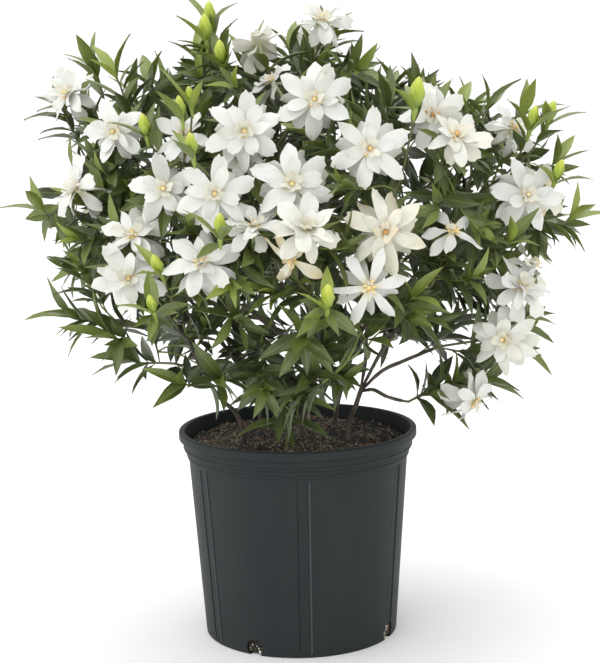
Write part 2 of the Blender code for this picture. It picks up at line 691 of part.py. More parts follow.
def twig_body(twig):
    """A twig as one skin: three sides, its leaves drawn out of short bands at its nodes."""
    points, sizes = twig["points"], twig["sizes"]
    bm = bmesh.new()
    rings, angle = [], 0.0
    rows = sections(twig)
    marks = [(row[0], row[1]) for row in rows if row[1] is not None]
    for at, turn, node in rows:
        point, heading, radius = place_along(points, sizes, at)
        side = side_along(points, at)
        if turn is not None:
            angle = turn
        elif marks:
            before = [m for m in marks if m[0] < at]
            after = [m for m in marks if m[0] > at]
            low = before[-1] if before else after[0]
            high = after[0] if after else before[-1]
            share = 0.0 if high[0] == low[0] else (at - low[0]) / (high[0] - low[0])
            angle = low[1] + (high[1] - low[1]) * share
        other = heading.cross(side)
        turns = [angle + 2 * math.pi * k / TWIG_SIDES for k in range(TWIG_SIDES)]
        ring = [bm.verts.new(point + (side * math.cos(a) + other * math.sin(a)) * radius) for a in turns]
        rings.append((ring, node))
    for (lower, _), (upper, node) in zip(rings, rings[1:]):
        for k in range(TWIG_SIDES):
            n = (k + 1) % TWIG_SIDES
            leaf = node["leaves"].get(k) if node else None
            corners = [upper[k], upper[n], lower[n], lower[k]]
            if leaf is None:
                bm.faces.new(corners[::-1])
                continue
            draw_leaf(bm, corners, leaf)
    bm.faces.new(rings[0][0][::-1])
    last = rings[-1][0]
    if twig["kind"] == "bud":
        heading = (points[-1] - points[-2]).normalized()
        middle = points[-1]
        length = twig["extra"]
        for reach, share in ((0.42, BUD_WIDE), (0.78, BUD_TIP)):
            centre = sum((v.co for v in last), Vector()) / TWIG_SIDES
            level = middle + heading * length * reach
            ring = [bm.verts.new(level + (v.co - centre).normalized() * length * share) for v in last]
            for k in range(TWIG_SIDES):
                n = (k + 1) % TWIG_SIDES
                bm.faces.new((last[k], last[n], ring[n], ring[k]))
            last = ring
        tip = bm.verts.new(middle + heading * length)
        for k in range(TWIG_SIDES):
            bm.faces.new((last[k], last[(k + 1) % TWIG_SIDES], tip))
    else:
        bm.faces.new(last)
    bmesh.ops.triangulate(bm, faces=bm.faces)
    bmesh.ops.recalc_face_normals(bm, faces=bm.faces)
    return bm


def draw_leaf(bm, corners, leaf):
    """Draws a leaf out of a four-cornered gap: its stalk, its widest line with or without a fold, its tip."""
    place, length, width, bend, across = leaf
    outline = leaf_outline(length, width)
    widest = station(place, outline, 1, LEAF_THICK, bend, LEAF_FOLD[across])
    right_up, left_up, left_low, right_low = [bm.verts.new(p) for p in widest]
    tip_up, tip_low = [bm.verts.new(p) for p in station(place, outline, 2, LEAF_THICK, bend)[1:3]]
    if across == 2:
        rib = station(place, ((0, 0), (outline[1][0], 0.0), outline[2]), 1, LEAF_THICK, bend)
        rib_up, rib_low = bm.verts.new(rib[1]), bm.verts.new(rib[2])
        bm.faces.new((corners[1], corners[0], rib_up))
        bm.faces.new((corners[0], right_up, rib_up))
        bm.faces.new((corners[1], rib_up, left_up))
        bm.faces.new((corners[3], corners[2], rib_low))
        bm.faces.new((corners[3], rib_low, right_low))
        bm.faces.new((corners[2], left_low, rib_low))
        bm.faces.new((rib_up, right_up, tip_up))
        bm.faces.new((left_up, rib_up, tip_up))
        bm.faces.new((right_low, rib_low, tip_low))
        bm.faces.new((rib_low, left_low, tip_low))
    else:
        bm.faces.new((corners[1], corners[0], right_up, left_up))
        bm.faces.new((corners[3], corners[2], left_low, right_low))
        bm.faces.new((left_up, right_up, tip_up))
        bm.faces.new((right_low, left_low, tip_low))
    bm.faces.new((corners[0], corners[3], right_low, right_up))
    bm.faces.new((corners[2], corners[1], left_up, left_low))
    bm.faces.new((right_up, right_low, tip_low, tip_up))
    bm.faces.new((left_low, left_up, tip_up, tip_low))


def leaf_nodes(twig, rng):
    """The nodes of a twig: distance back from its end, and the leaves and lean at each."""
    rows = []
    length = length_of(twig["points"])
    kind = twig["kind"]
    back = {"bloom": 9.0, "bud": 6.0, "shoot": 0.45}[kind] * MM
    while back < length * 0.75:
        first = not rows
        rows.append((back, 3 if first and kind == "shoot" else 2, 27 if first and kind == "shoot" else 42))
        back += rng.uniform(19, 26) * MM
    return rows


def try_leaf(plan, spray, index, twig, at, angle, face, lean, rng_values):
    """A leaf from one side of a twig, or None where each lean of it would cross something."""
    node = spray["node"]
    length, ratio, bend = rng_values
    origin, heading, _ = place_along(twig["points"], twig["sizes"], at)
    side = side_along(twig["points"], at)
    turn = angle + 2 * math.pi * (face + 0.5) / TWIG_SIDES
    radial = side * math.cos(turn) + heading.cross(side) * math.sin(turn)
    across_twig = heading.cross(radial)
    if origin.z < 0.40:
        length *= 1.15
    width = length * ratio
    across = 2 if length > LARGE_LEAF else 1
    for change in (0, -12, 12, -22, 24):
        tilt = math.radians(lean + change)
        along = heading * math.cos(tilt) + radial * math.sin(tilt)
        along = (along + Vector((0, 0, 0.12))).normalized()
        normal = heading * math.sin(tilt) - radial * math.cos(tilt)
        skyward = normal + Vector((0, 0, 0.8))
        if along.cross(skyward).normalized().dot(across_twig) < -0.5:
            normal = skyward
        place = frame_at(origin, along, normal)
        outline = ((0.0, 1.3 * MM),) + leaf_outline(length, width)[1:]
        test = blade(place, outline, across, LEAF_THICK, bend, LEAF_FOLD[across], 1.0 * MM)
        clear = plan.clashes(test, node, skip=(node,)) is None
        clear = clear and not crosses_own(plan, test, node, f"twig_{index}")
        test.free()
        if clear:
            return place, length, width, bend, across
    return None


def plan_pot(plan):
    """The pot's and the soil's outside, for leaves to keep clear of."""
    rim, inside = LIP_RADIUS + 1 * MM, LIP_RADIUS - LIP_THICK - 2 * MM
    profile = ((0.0, 0.0), (rim, 0.0), (rim, POT_HEIGHT + 1 * MM), (inside, POT_HEIGHT + 1 * MM),
               (inside, SOIL_Z + 4 * MM), (0.0, SOIL_Z + 8 * MM))
    body = turned_body(Matrix.Identity(4), profile, POT_SIDES)
    plan.add(body, "pot")
    body.free()


def plan_leaves(plan, sprays, most_nodes):
    """Leaves in whorls at each twig's nodes, the twigs' ends first, turned clear of what is there."""
    for level in range(max(most_nodes.values())):
        for spray in sprays.values():
            for index, twig in enumerate(spray["twigs"]):
                if level >= twig.get("most", most_nodes[twig["kind"]]):
                    continue
                rng = random.Random(f"{SEED} {spray['node']} {index}")
                rows = leaf_nodes(twig, rng)
                if level >= len(rows):
                    continue
                back, wanted, lean = rows[level]
                lean += twig.get("droop", 0)
                wanted += "most" in twig
                wanted -= level * (index % 2)
                rng = random.Random(f"{SEED} {spray['node']} {index} {level}")
                at = length_of(twig["points"]) - back
                values = []
                for _ in range(TWIG_SIDES):
                    length, ratio = rng.uniform(42, 57) * MM, rng.uniform(0.23, 0.27)
                    values.append((length, ratio, math.radians(rng.uniform(10, 45))))
                lean += rng.uniform(-6, 6)
                start = twig["nodes"][-1]["turn"] + math.pi / 3 if twig["nodes"] else rng.uniform(0, 2.1)
                best = {"back": back, "turn": start, "leaves": {}}
                for change in (0, 0.35, -0.35, 0.7, -0.7):
                    leaves = {}
                    turn = start + change
                    for face in range(TWIG_SIDES):
                        leaf = try_leaf(plan, spray, index, twig, at, turn, face, lean, values[face])
                        if leaf and len(leaves) < wanted:
                            leaves[face] = leaf
                    if len(leaves) > len(best["leaves"]):
                        best = {"back": back, "turn": start + change, "leaves": leaves}
                    if len(leaves) >= wanted:
                        break
                twig["nodes"].append(best)
                for place, length, width, bend, across in best["leaves"].values():
                    outline, fold = leaf_outline(length, width), LEAF_FOLD[across]
                    real = blade(place, outline, across, LEAF_THICK, bend, fold)
                    plan.add(real, spray["node"], "leaf")
                    real.free()


def crosses_own(plan, bm, node, own_twig):
    """Whether a leaf would cross a leaf, a bud or another twig of its own spray."""
    tree = None
    for owner, label, faces in plan.around(bm):
        if owner == node and label != own_twig:
            tree = tree or BVHTree.FromBMesh(bm)
            if tree.overlap(faces):
                return True
    return False


MATERIALS = {
    "pot": ((0.040, 0.052, 0.054, 1.0), 0.55),
    "soil": ((0.045, 0.026, 0.017, 1.0), 0.95),
    "wood": ((0.150, 0.095, 0.060, 1.0), 0.80),
    "leaf": ((0.085, 0.170, 0.045, 1.0), 0.35),
    "petal": ((0.900, 0.900, 0.860, 1.0), 0.45),
}


def material(name):
    colour, rough = MATERIALS[name.split(".")[0]]
    made = bpy.data.materials.new(name)
    made.use_nodes = True
    made.diffuse_color = colour
    shader = made.node_tree.nodes["Principled BSDF"]
    shader.inputs["Base Color"].default_value = colour
    shader.inputs["Roughness"].default_value = rough
    return made


def as_object(name, bm, collection):
    mesh = bpy.data.meshes.new(name)
    bm.to_mesh(mesh)
    bm.free()
    made = bpy.data.objects.new(name, mesh)
    collection.objects.link(made)
    return made


def applied(obj):
    """The object's evaluated mesh put back in it, its modifiers taken off."""
    graph = bpy.context.evaluated_depsgraph_get()
    mesh = bpy.data.meshes.new_from_object(obj.evaluated_get(graph))
    obj.modifiers.clear()
    obj.data = mesh
    return obj


def keep_body(obj):
    """Drops loose scraps and sealed hollows, and leaves the one large body."""
    bm = bmesh.new()
    bm.from_mesh(obj.data)
    left = set(bm.verts)
    islands = []
    while left:
        seen, edge = set(), [next(iter(left))]
        while edge:
            v = edge.pop()
            if v in seen:
                continue
            seen.add(v)
            edge.extend(e.other_vert(v) for e in v.link_edges)
        left -= seen
        islands.append(seen)
    islands.sort(key=len, reverse=True)
    for island in islands[1:]:
        bmesh.ops.delete(bm, geom=list(island), context="VERTS")
    bmesh.ops.triangulate(bm, faces=bm.faces)
    bm.to_mesh(obj.data)
    bm.free()


def union(name, pieces, home, bench, slot):
    """One object from many closed pieces."""
    first = as_object(name, pieces[0], home)
    if len(pieces) > 1:
        group = bpy.data.collections.new(name + "_repeats")
        bench.children.link(group)
        for k, piece in enumerate(pieces[1:]):
            as_object(f"{name}_{k}", piece, group)
        joined = first.modifiers.new("join", "BOOLEAN")
        joined.operation = "UNION"
        joined.operand_type = "COLLECTION"
        joined.collection = group
        joined.solver = "MANIFOLD"
        applied(first)
        for obj in list(group.objects):
            bpy.data.objects.remove(obj)
        bpy.data.collections.remove(group)
    keep_body(first)
    first.data.materials.clear()
    first.data.materials.append(material(slot))
    return first


def screw(name, profile, steps, home):
    """A body turned about Z by the Screw modifier from (radius, height) pairs on +X."""
    mesh = bpy.data.meshes.new(name)
    points = [(r, 0.0, z) for r, z in profile]
    edges = [(k, k + 1) for k in range(len(points) - 1)]
    mesh.from_pydata(points, edges, [])
    obj = bpy.data.objects.new(name, mesh)
    home.objects.link(obj)
    turned = obj.modifiers.new("turn", "SCREW")
    turned.axis = "Z"
    turned.steps = steps
    turned.render_steps = steps
    turned.use_merge_vertices = True
    turned.merge_threshold = 0.00005
    turned.use_normal_calculate = True
    applied(obj)
    bm = bmesh.new()
    bm.from_mesh(obj.data)
    bmesh.ops.remove_doubles(bm, verts=bm.verts, dist=1e-6)
    bmesh.ops.recalc_face_normals(bm, faces=bm.faces)
    bm.to_mesh(obj.data)
    bm.free()
    return obj


def build_pot(home, bench):
    lip_inner = LIP_RADIUS - LIP_THICK
    outer = (
        (0.0, 0.0), (BASE_RADIUS, 0.0), (BODY_TOP_RADIUS, COLLAR_Z), (COLLAR_RADIUS, COLLAR_Z + 1 * MM),
        (COLLAR_RADIUS, BAND_Z), (BAND_RADIUS, BAND_Z + 1 * MM), (BAND_RADIUS, LIP_Z),
        (LIP_RADIUS, LIP_Z + 0.5 * MM), (LIP_RADIUS, POT_HEIGHT - 2 * MM), (LIP_RADIUS - 2 * MM, POT_HEIGHT),
        (lip_inner, POT_HEIGHT), (lip_inner - 0.8 * MM, LIP_Z), (BODY_TOP_RADIUS - WALL, COLLAR_Z),
        (BASE_RADIUS - WALL, FLOOR), (0.0, FLOOR),
    )
    pot = screw("pot", tuple(reversed(outer)), POT_SIDES, home)
    facet = 2 * math.pi / POT_SIDES
    pot.data.transform(Matrix.Rotation(math.radians(FLUTE_ANGLE) - facet / 2, 4, "Z"))
    slope = math.atan2(BODY_TOP_RADIUS - BASE_RADIUS, COLLAR_Z)
    cutters = bpy.data.collections.new("pot_cutters")
    bench.children.link(cutters)
    for k in range(FLUTES):
        turn = math.radians(FLUTE_ANGLE + 60.0 * k)
        low, high = 6 * MM, COLLAR_Z - 3 * MM
        middle = (low + high) / 2
        radius = (BASE_RADIUS + (BODY_TOP_RADIUS - BASE_RADIUS) * middle / COLLAR_Z) * math.cos(facet / 2)
        bm = bmesh.new()
        bmesh.ops.create_cube(bm, size=1.0)
        bmesh.ops.scale(bm, vec=(4 * MM, FLUTE_WIDTH, high - low), verts=bm.verts)
        out = Matrix.Translation((radius - FLUTE_DEPTH + 2 * MM, 0, middle))
        place = Matrix.Rotation(turn, 4, "Z") @ out @ Matrix.Rotation(slope, 4, "Y")
        bmesh.ops.transform(bm, matrix=place, verts=bm.verts)
        as_object(f"flute_{k}", bm, cutters)
    for k in range(DRAINS):
        turn = math.radians(DRAIN_ANGLE + 90.0 * k)
        bm = bmesh.new()
        bmesh.ops.create_cone(bm, cap_ends=True, segments=8, radius1=DRAIN_RADIUS, radius2=DRAIN_RADIUS,
                              depth=30 * MM)
        place = (Matrix.Rotation(turn, 4, "Z") @ Matrix.Translation((BASE_RADIUS, 0, DRAIN_Z))
                 @ Matrix.Rotation(math.radians(90), 4, "Y"))
        bmesh.ops.transform(bm, matrix=place, verts=bm.verts)
        as_object(f"drain_{k}", bm, cutters)
    cut = pot.modifiers.new("flutes_and_drains", "BOOLEAN")
    cut.operation = "DIFFERENCE"
    cut.operand_type = "COLLECTION"
    cut.collection = cutters
    cut.solver = "EXACT"
    applied(pot)
    for obj in list(cutters.objects):
        bpy.data.objects.remove(obj)
    bpy.data.collections.remove(cutters)
    keep_body(pot)
    pot.data.materials.clear()
    pot.data.materials.append(material("pot"))
    return pot


def build_soil(home, bench, stems, low_radius):
    rng = random.Random(SEED + 4)
    inner = BASE_RADIUS - WALL - GAP - 0.3 * MM
    top = BODY_TOP_RADIUS - WALL - GAP - 0.5 * MM
    profile = ((0.0, SOIL_Z + 4 * MM), (50 * MM, SOIL_Z + 3 * MM), (95 * MM, SOIL_Z),
               (top, SOIL_Z - 3 * MM), (top - 0.5 * MM, COLLAR_Z - 1 * MM), (inner, FLOOR + GAP),
               (0.0, FLOOR + GAP))
    soil = screw("soil", profile, SOIL_SIDES, home)
    for v in soil.data.vertices:
        reach = math.hypot(v.co.x, v.co.y)
        if v.co.z > SOIL_Z - 1 * MM and reach > 1 * MM:
            v.co.z += rng.uniform(-3, 3) * MM
    cutters = bpy.data.collections.new("soil_holes")
    bench.children.link(cutters)
    holes = [(stem["foot"], stem["radius"]) for stem in stems.values()]
    holes.append((Vector((LOW_SHOOT_FOOT[0] * MM, LOW_SHOOT_FOOT[1] * MM, SOIL_Z - 0.055)), low_radius))
    for k, (foot, radius) in enumerate(holes):
        bm = bmesh.new()
        wide = (radius + 0.45 * MM) / math.cos(math.pi / 6)
        bmesh.ops.create_cone(bm, cap_ends=True, segments=6, radius1=wide, radius2=wide, depth=90 * MM)
        bmesh.ops.translate(bm, vec=(foot.x, foot.y, foot.z + 45 * MM - GAP), verts=bm.verts)
        as_object(f"hole_{k}", bm, cutters)
    cut = soil.modifiers.new("holes", "BOOLEAN")
    cut.operation = "DIFFERENCE"
    cut.operand_type = "COLLECTION"
    cut.collection = cutters
    cut.solver = "EXACT"
    applied(soil)
    for obj in list(cutters.objects):
        bpy.data.objects.remove(obj)
    bpy.data.collections.remove(cutters)
    keep_body(soil)
    soil.data.materials.clear()
    soil.data.materials.append(material("soil"))
    return soil


def plan_low_shoot(plan, sprays):
    """The small shoot that stands alone in the soil at the front."""
    place, heading = metres(LOW_SHOOT[0]), unit(LOW_SHOOT[1])
    foot = Vector((LOW_SHOOT_FOOT[0] * MM, LOW_SHOOT_FOOT[1] * MM, SOIL_Z - 0.055))
    collar = Vector((foot.x, foot.y, SOIL_Z + 0.008))
    path = [foot] + bezier(collar, Vector((0, 0, 1)), place, heading, 3)
    sizes = [1.9 * MM, 1.9 * MM, 1.7 * MM, 1.5 * MM, 1.3 * MM]
    real = rod(path, sizes, 4)
    plan.add(real, "spray_low_shoot", "twig_0")
    real.free()
    twig = {"points": path, "sizes": sizes, "kind": "bud", "extra": LOW_BUD, "nodes": []}
    twig.update({"most": 3, "droop": 38})
    body = bud_body(place, heading, LOW_BUD)
    plan.add(body, "spray_low_shoot", "bud")
    body.free()
    sprays["low_shoot"] = {"node": "spray_low_shoot", "twigs": [twig]}


def main():
    for obj in list(bpy.data.objects):
        bpy.data.objects.remove(obj)
    home = bpy.data.collections.new("potted_gardenia")
    bench = bpy.data.collections.new("cutters")
    bpy.context.scene.collection.children.link(home)
    bpy.context.scene.collection.children.link(bench)
    bench.hide_render = True

    plan = Plan()
    blooms = plan_blooms(plan)
    stems = plan_stems(plan, blooms)
    sprays = plan_sprays(plan, blooms, stems)
    plan_low_shoot(plan, sprays)
    plan_pot(plan)
    plan_leaves(plan, sprays, {"bloom": 1, "bud": 1, "shoot": 2})

    build_pot(home, bench)
    build_soil(home, bench, stems, 1.9 * MM)
    for stem in stems.values():
        pieces = [rod(points, sizes, sides) for points, sizes, sides in stem["rods"]]
        union(stem["node"], pieces, home, bench, "wood." + stem["node"])
    for spray in sprays.values():
        pieces = [twig_body(twig) for twig in spray["twigs"]]
        union(spray["node"], pieces, home, bench, "leaf." + spray["node"])
    nodes = {}
    for bloom in blooms.values():
        pieces = nodes.setdefault(bloom["node"], [])
        pieces.append(bloom_body(bloom))
    for node, pieces in nodes.items():
        union(node, pieces, home, bench, "petal." + node)


main()
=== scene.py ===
"""The looks of the potted gardenia: fine leaves, petals, buds, bark, soil and pot round the fixed frame.

Metres, +Z up, the front of the plant towards -Y, as in the frame.
"""

import itertools
import json
import math
import random

import bmesh
import bpy
from mathutils import Euler, Matrix, Vector
from mathutils.bvhtree import BVHTree

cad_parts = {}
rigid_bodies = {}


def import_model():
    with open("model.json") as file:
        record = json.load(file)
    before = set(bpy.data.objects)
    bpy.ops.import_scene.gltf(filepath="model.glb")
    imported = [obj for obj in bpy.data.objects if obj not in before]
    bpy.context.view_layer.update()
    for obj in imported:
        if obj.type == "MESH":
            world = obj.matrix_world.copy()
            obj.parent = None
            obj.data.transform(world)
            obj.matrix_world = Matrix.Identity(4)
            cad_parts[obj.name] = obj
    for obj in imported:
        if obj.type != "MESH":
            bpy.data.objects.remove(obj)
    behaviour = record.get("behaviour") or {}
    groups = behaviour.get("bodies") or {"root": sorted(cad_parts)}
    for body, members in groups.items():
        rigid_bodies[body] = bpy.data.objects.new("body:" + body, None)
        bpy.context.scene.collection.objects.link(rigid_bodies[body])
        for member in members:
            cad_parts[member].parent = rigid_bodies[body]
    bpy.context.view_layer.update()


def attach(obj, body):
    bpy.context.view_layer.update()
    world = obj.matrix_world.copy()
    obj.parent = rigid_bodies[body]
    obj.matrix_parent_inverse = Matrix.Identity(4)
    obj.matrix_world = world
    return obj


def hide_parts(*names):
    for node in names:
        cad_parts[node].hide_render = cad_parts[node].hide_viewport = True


# The plan of the plant, as in the frame: the same places, sizes and seeds.
MM = 0.001
GAP = 0.3 * MM
SEED = 11

# The pot: a number 3 nursery container.
POT_SIDES = 30
POT_HEIGHT = 0.244
BASE_RADIUS = 0.1135
BODY_TOP_RADIUS = 0.1288
COLLAR_RADIUS = 0.1304
BAND_RADIUS = 0.1342
LIP_RADIUS = 0.1397
COLLAR_Z = 0.2115
BAND_Z = 0.2210
LIP_Z = 0.2335
WALL = 2.0 * MM
LIP_THICK = 7.0 * MM
FLOOR = 2.5 * MM
FLUTE_WIDTH = 12.0 * MM
FLUTE_DEPTH = 0.7 * MM
FLUTES = 6
FLUTE_ANGLE = -88.0
FLUTE_ENDS = (5.0 * MM, COLLAR_Z - 3.0 * MM)
BEAD_RADIUS = 1.2 * MM
BEAD_SUNK = 0.45 * MM
WALL_SLOPE = math.atan2(BODY_TOP_RADIUS - BASE_RADIUS, COLLAR_Z)
DRAIN_RADIUS = 10.5 * MM
DRAIN_Z = 8.5 * MM
DRAINS = 4
DRAIN_ANGLE = -118.0

# The soil: its level, how far its middle stands above that and its edge below the middle, and its reach.
SOIL_Z = 0.2325
SOIL_CROWN = 2.2 * MM
SOIL_FALL = 5.0 * MM
SOIL_RADIUS = BODY_TOP_RADIUS - WALL - GAP - 0.5 * MM
BED_RINGS = 16
CRUMB_KINDS = 4
STEM_DEPTH = 0.055
STEM_COLLAR = 0.008
STEM_SIDES = 5
TWIG_SIDES = 3

# Leaves, petals and twigs.
LEAF_THICK = 0.8 * MM
LARGE_LEAF = 63.0 * MM
LARGE_LEAVES_BELOW = 0.40
LEAF_FOLD = {1: 0.0, 2: 0.35}
LEAF_ROOT = 1.3 * MM
LEAF_ROOM = 1.0 * MM
# How far a leaf that would cross something is leant away, in degrees.
LEAF_TRIES = (0, -12, 12, -22, 24)
PETAL_THICK = 0.8 * MM
PETAL_ROOT = 1.8 * MM
PETAL_ROOM = 1.0 * MM
TUBE_LENGTH = 24.0 * MM
CALYX_RADIUS = 2.2 * MM
CALYX_TEETH = 5
ANTHERS = 7
TUBE_PROFILE = ((CALYX_RADIUS, -TUBE_LENGTH), (3.2 * MM, -2.0 * MM), (4.2 * MM, 0.6 * MM), (0.0, 3.2 * MM))
BUD_WIDE = 0.28
BUD_TIP = 0.19
CROWN_HEART = Vector((0.0, 0.0, 0.33))

# Each bloom: place in mm, the way it faces, radius in mm, petals of the upper and the lower tier,
# the lift of the two tiers in degrees.
BLOOMS = {
    "01": ((-250, -30, 635), (-0.45, -0.75, 0.45), 36, 5, 3, 18, -48),
    "02": ((-185, -150, 595), (-0.20, -0.95, 0.20), 36, 5, 2, 14, -22),
    "03": ((-228, -140, 535), (-0.80, -0.40, 0.45), 36, 5, 3, 22, -50),
    "04": ((-130, -215, 538), (0.00, -1.00, 0.12), 37, 5, 2, 12, -24),
    "05": ((-165, -195, 490), (-0.10, -0.80, 0.60), 38, 5, 2, 16, -20),
    "06": ((-168, -215, 448), (-0.10, -1.00, 0.10), 43, 5, 2, 10, -26),
    "07": ((-92, -250, 466), (0.00, -0.80, 0.60), 39, 6, 2, 18, -18),
    "08": ((-76, -255, 535), (0.00, -1.00, 0.15), 40, 6, 2, 12, -22),
    "09": ((-110, -190, 590), (0.00, -0.80, 0.60), 33, 4, 2, 18, -16),
    "10": ((-47, -222, 595), (0.00, -1.00, 0.10), 42, 6, 2, 12, -24),
    "11": ((-38, -250, 500), (0.10, -0.55, 0.85), 32, 5, 2, 34, 2),
    "12": ((-52, -186, 556), (-0.30, -0.60, 0.70), 30, 5, 0, 10, -20),
    "13": ((-34, -60, 684), (-0.30, 0.45, 0.80), 33, 5, 2, 10, -30),
    "14": ((-18, -110, 642), (-0.55, -0.15, 0.80), 28, 4, 2, 30, -10),
    "15": ((37, -50, 710), (0.00, -0.75, 0.65), 34, 5, 2, 16, -20),
    "16": ((25, -195, 625), (0.00, -1.00, 0.12), 41, 6, 2, 12, -24),
    "17": ((0, -240, 542), (0.00, -1.00, 0.25), 44, 6, 2, 12, -20),
    "18": ((12, -275, 498), (0.10, -0.75, 0.70), 38, 6, 3, 36, -4),
    "19": ((-2, -262, 468), (-0.30, -0.80, -0.35), 34, 4, 0, 10, -20),
    "20": ((78, -232, 575), (0.00, -1.00, 0.10), 43, 6, 2, 12, -22),
    "21": ((92, -248, 494), (0.00, -1.00, 0.00), 44, 6, 2, 14, -24),
    "22": ((75, -258, 440), (0.00, -1.00, -0.05), 40, 6, 2, 12, -20),
    "23": ((147, -172, 606), (-0.10, -1.00, 0.15), 38, 5, 2, 12, -24),
    "24": ((168, -205, 584), (0.10, -0.80, 0.60), 35, 5, 1, 16, -20),
    "25": ((240, -90, 588), (0.65, -0.50, 0.55), 33, 5, 2, 16, -34),
    "26": ((248, -150, 520), (0.10, -1.00, 0.12), 40, 6, 2, 12, -22),
    "26b": ((284, -112, 517), (0.70, -0.60, 0.20), 30, 4, 0, 8, -20),
    "27": ((163, -200, 487), (0.20, -0.60, 0.80), 34, 5, 0, 12, -14),
    "28": ((240, -158, 424), (0.55, -0.60, 0.55), 37, 6, 3, 22, -18),
    "28b": ((266, -118, 456), (0.75, -0.10, 0.65), 28, 4, 0, 12, -20),
    "29": ((222, -165, 368), (-0.40, -0.90, 0.15), 40, 6, 3, 16, -22),
    "30": ((192, -130, 296), (0.60, -0.40, -0.55), 38, 5, 3, -6, -40),
    "31": ((150, 160, 620), (0.45, 0.75, 0.55), 38, 5, 2, 14, -24),
    "32": ((-130, 175, 610), (-0.40, 0.80, 0.50), 38, 5, 2, 14, -24),
    "33": ((10, 235, 565), (0.00, 0.95, 0.40), 40, 6, 2, 12, -22),
    "34": ((245, 110, 500), (0.85, 0.45, 0.30), 38, 5, 2, 14, -22),
    "35": ((-240, 110, 500), (-0.85, 0.45, 0.30), 38, 5, 2, 14, -22),
    "36": ((115, 230, 470), (0.40, 0.90, 0.25), 38, 5, 2, 14, -22),
    "37": ((-95, 235, 460), (-0.35, 0.90, 0.25), 38, 5, 2, 14, -22),
    "38": ((30, 100, 690), (0.10, 0.45, 0.90), 36, 5, 2, 14, -22),
}
# How far a petal that would cross another bloom is turned up or down, and what is kept of its length.
PETAL_TRIES = ((0, 1), (12, 1), (-12, 1), (24, 1), (-24, 1), (40, 0.9), (-40, 0.9), (60, 0.8))
# What is kept of the width of narrow petals.
SLIM_PETALS = {"22": 0.62, "21": 0.85, "27": 0.82, "25": 0.85, "19": 0.80}
# Blooms that touch and are one piece, each with the bloom that names it.
FUSED_BLOOMS = {"12": "10", "19": "18", "24": "23", "26b": "26", "28b": "28"}
# How such a bloom is drawn to its partner: in so many pulls of a share of the way, each tried in some turns.
FUSE_PULLS, FUSE_PULL, FUSE_TURNS = 8, 0.07, 6
BRANCH_TRIES, TWIG_TRIES = 40, 60
SHORTEST_TWIG = 0.02

# Each woody stem: its foot on the soil, the point where it forks, its radius in mm there, and the
# place and heading of the end that each spray grows from.
STEMS = {
    "left": ((-62, -36), (-100, -70, 312), 2.5, {
        "left_low": ((-128, -96, 336), (-0.80, -0.55, 0.25)),
        "left_front": ((-128, -112, 380), (-0.45, -0.70, 0.60)),
        "left_top": ((-142, -60, 440), (-0.50, -0.25, 0.90)),
    }),
    "back_left": ((-44, 40), (-74, 62, 312), 2.5, {
        "left_far": ((-150, 16, 420), (-0.75, -0.10, 0.70)),
        "back_left": ((-118, 110, 420), (-0.45, 0.50, 0.75)),
    }),
    "centre": ((4, -28), (24, -46, 318), 3.0, {
        "front_left": ((-48, -128, 400), (-0.35, -0.65, 0.70)),
        "front_low": ((22, -150, 372), (0.05, -0.75, 0.65)),
        "front": ((-18, -112, 440), (-0.10, -0.50, 0.90)),
        "top": ((-14, -30, 500), (-0.05, -0.15, 1.00)),
    }),
    "right": ((58, -44), (74, -58, 300), 2.8, {
        "right_low": ((118, -82, 288), (0.90, -0.30, 0.10)),
        "right_side": ((152, -92, 348), (0.75, -0.40, 0.45)),
        "front_right": ((80, -132, 404), (0.10, -0.60, 0.75)),
        "right_front": ((140, -110, 410), (0.50, -0.50, 0.75)),
    }),
    "back_right": ((46, 44), (66, 52, 316), 2.8, {
        "right_top": ((112, -22, 470), (0.35, -0.25, 0.90)),
        "right_far": ((166, 6, 440), (0.75, -0.05, 0.70)),
        "back_right": ((124, 108, 420), (0.45, 0.50, 0.75)),
        "back": ((16, 116, 440), (0.00, 0.50, 0.85)),
    }),
}

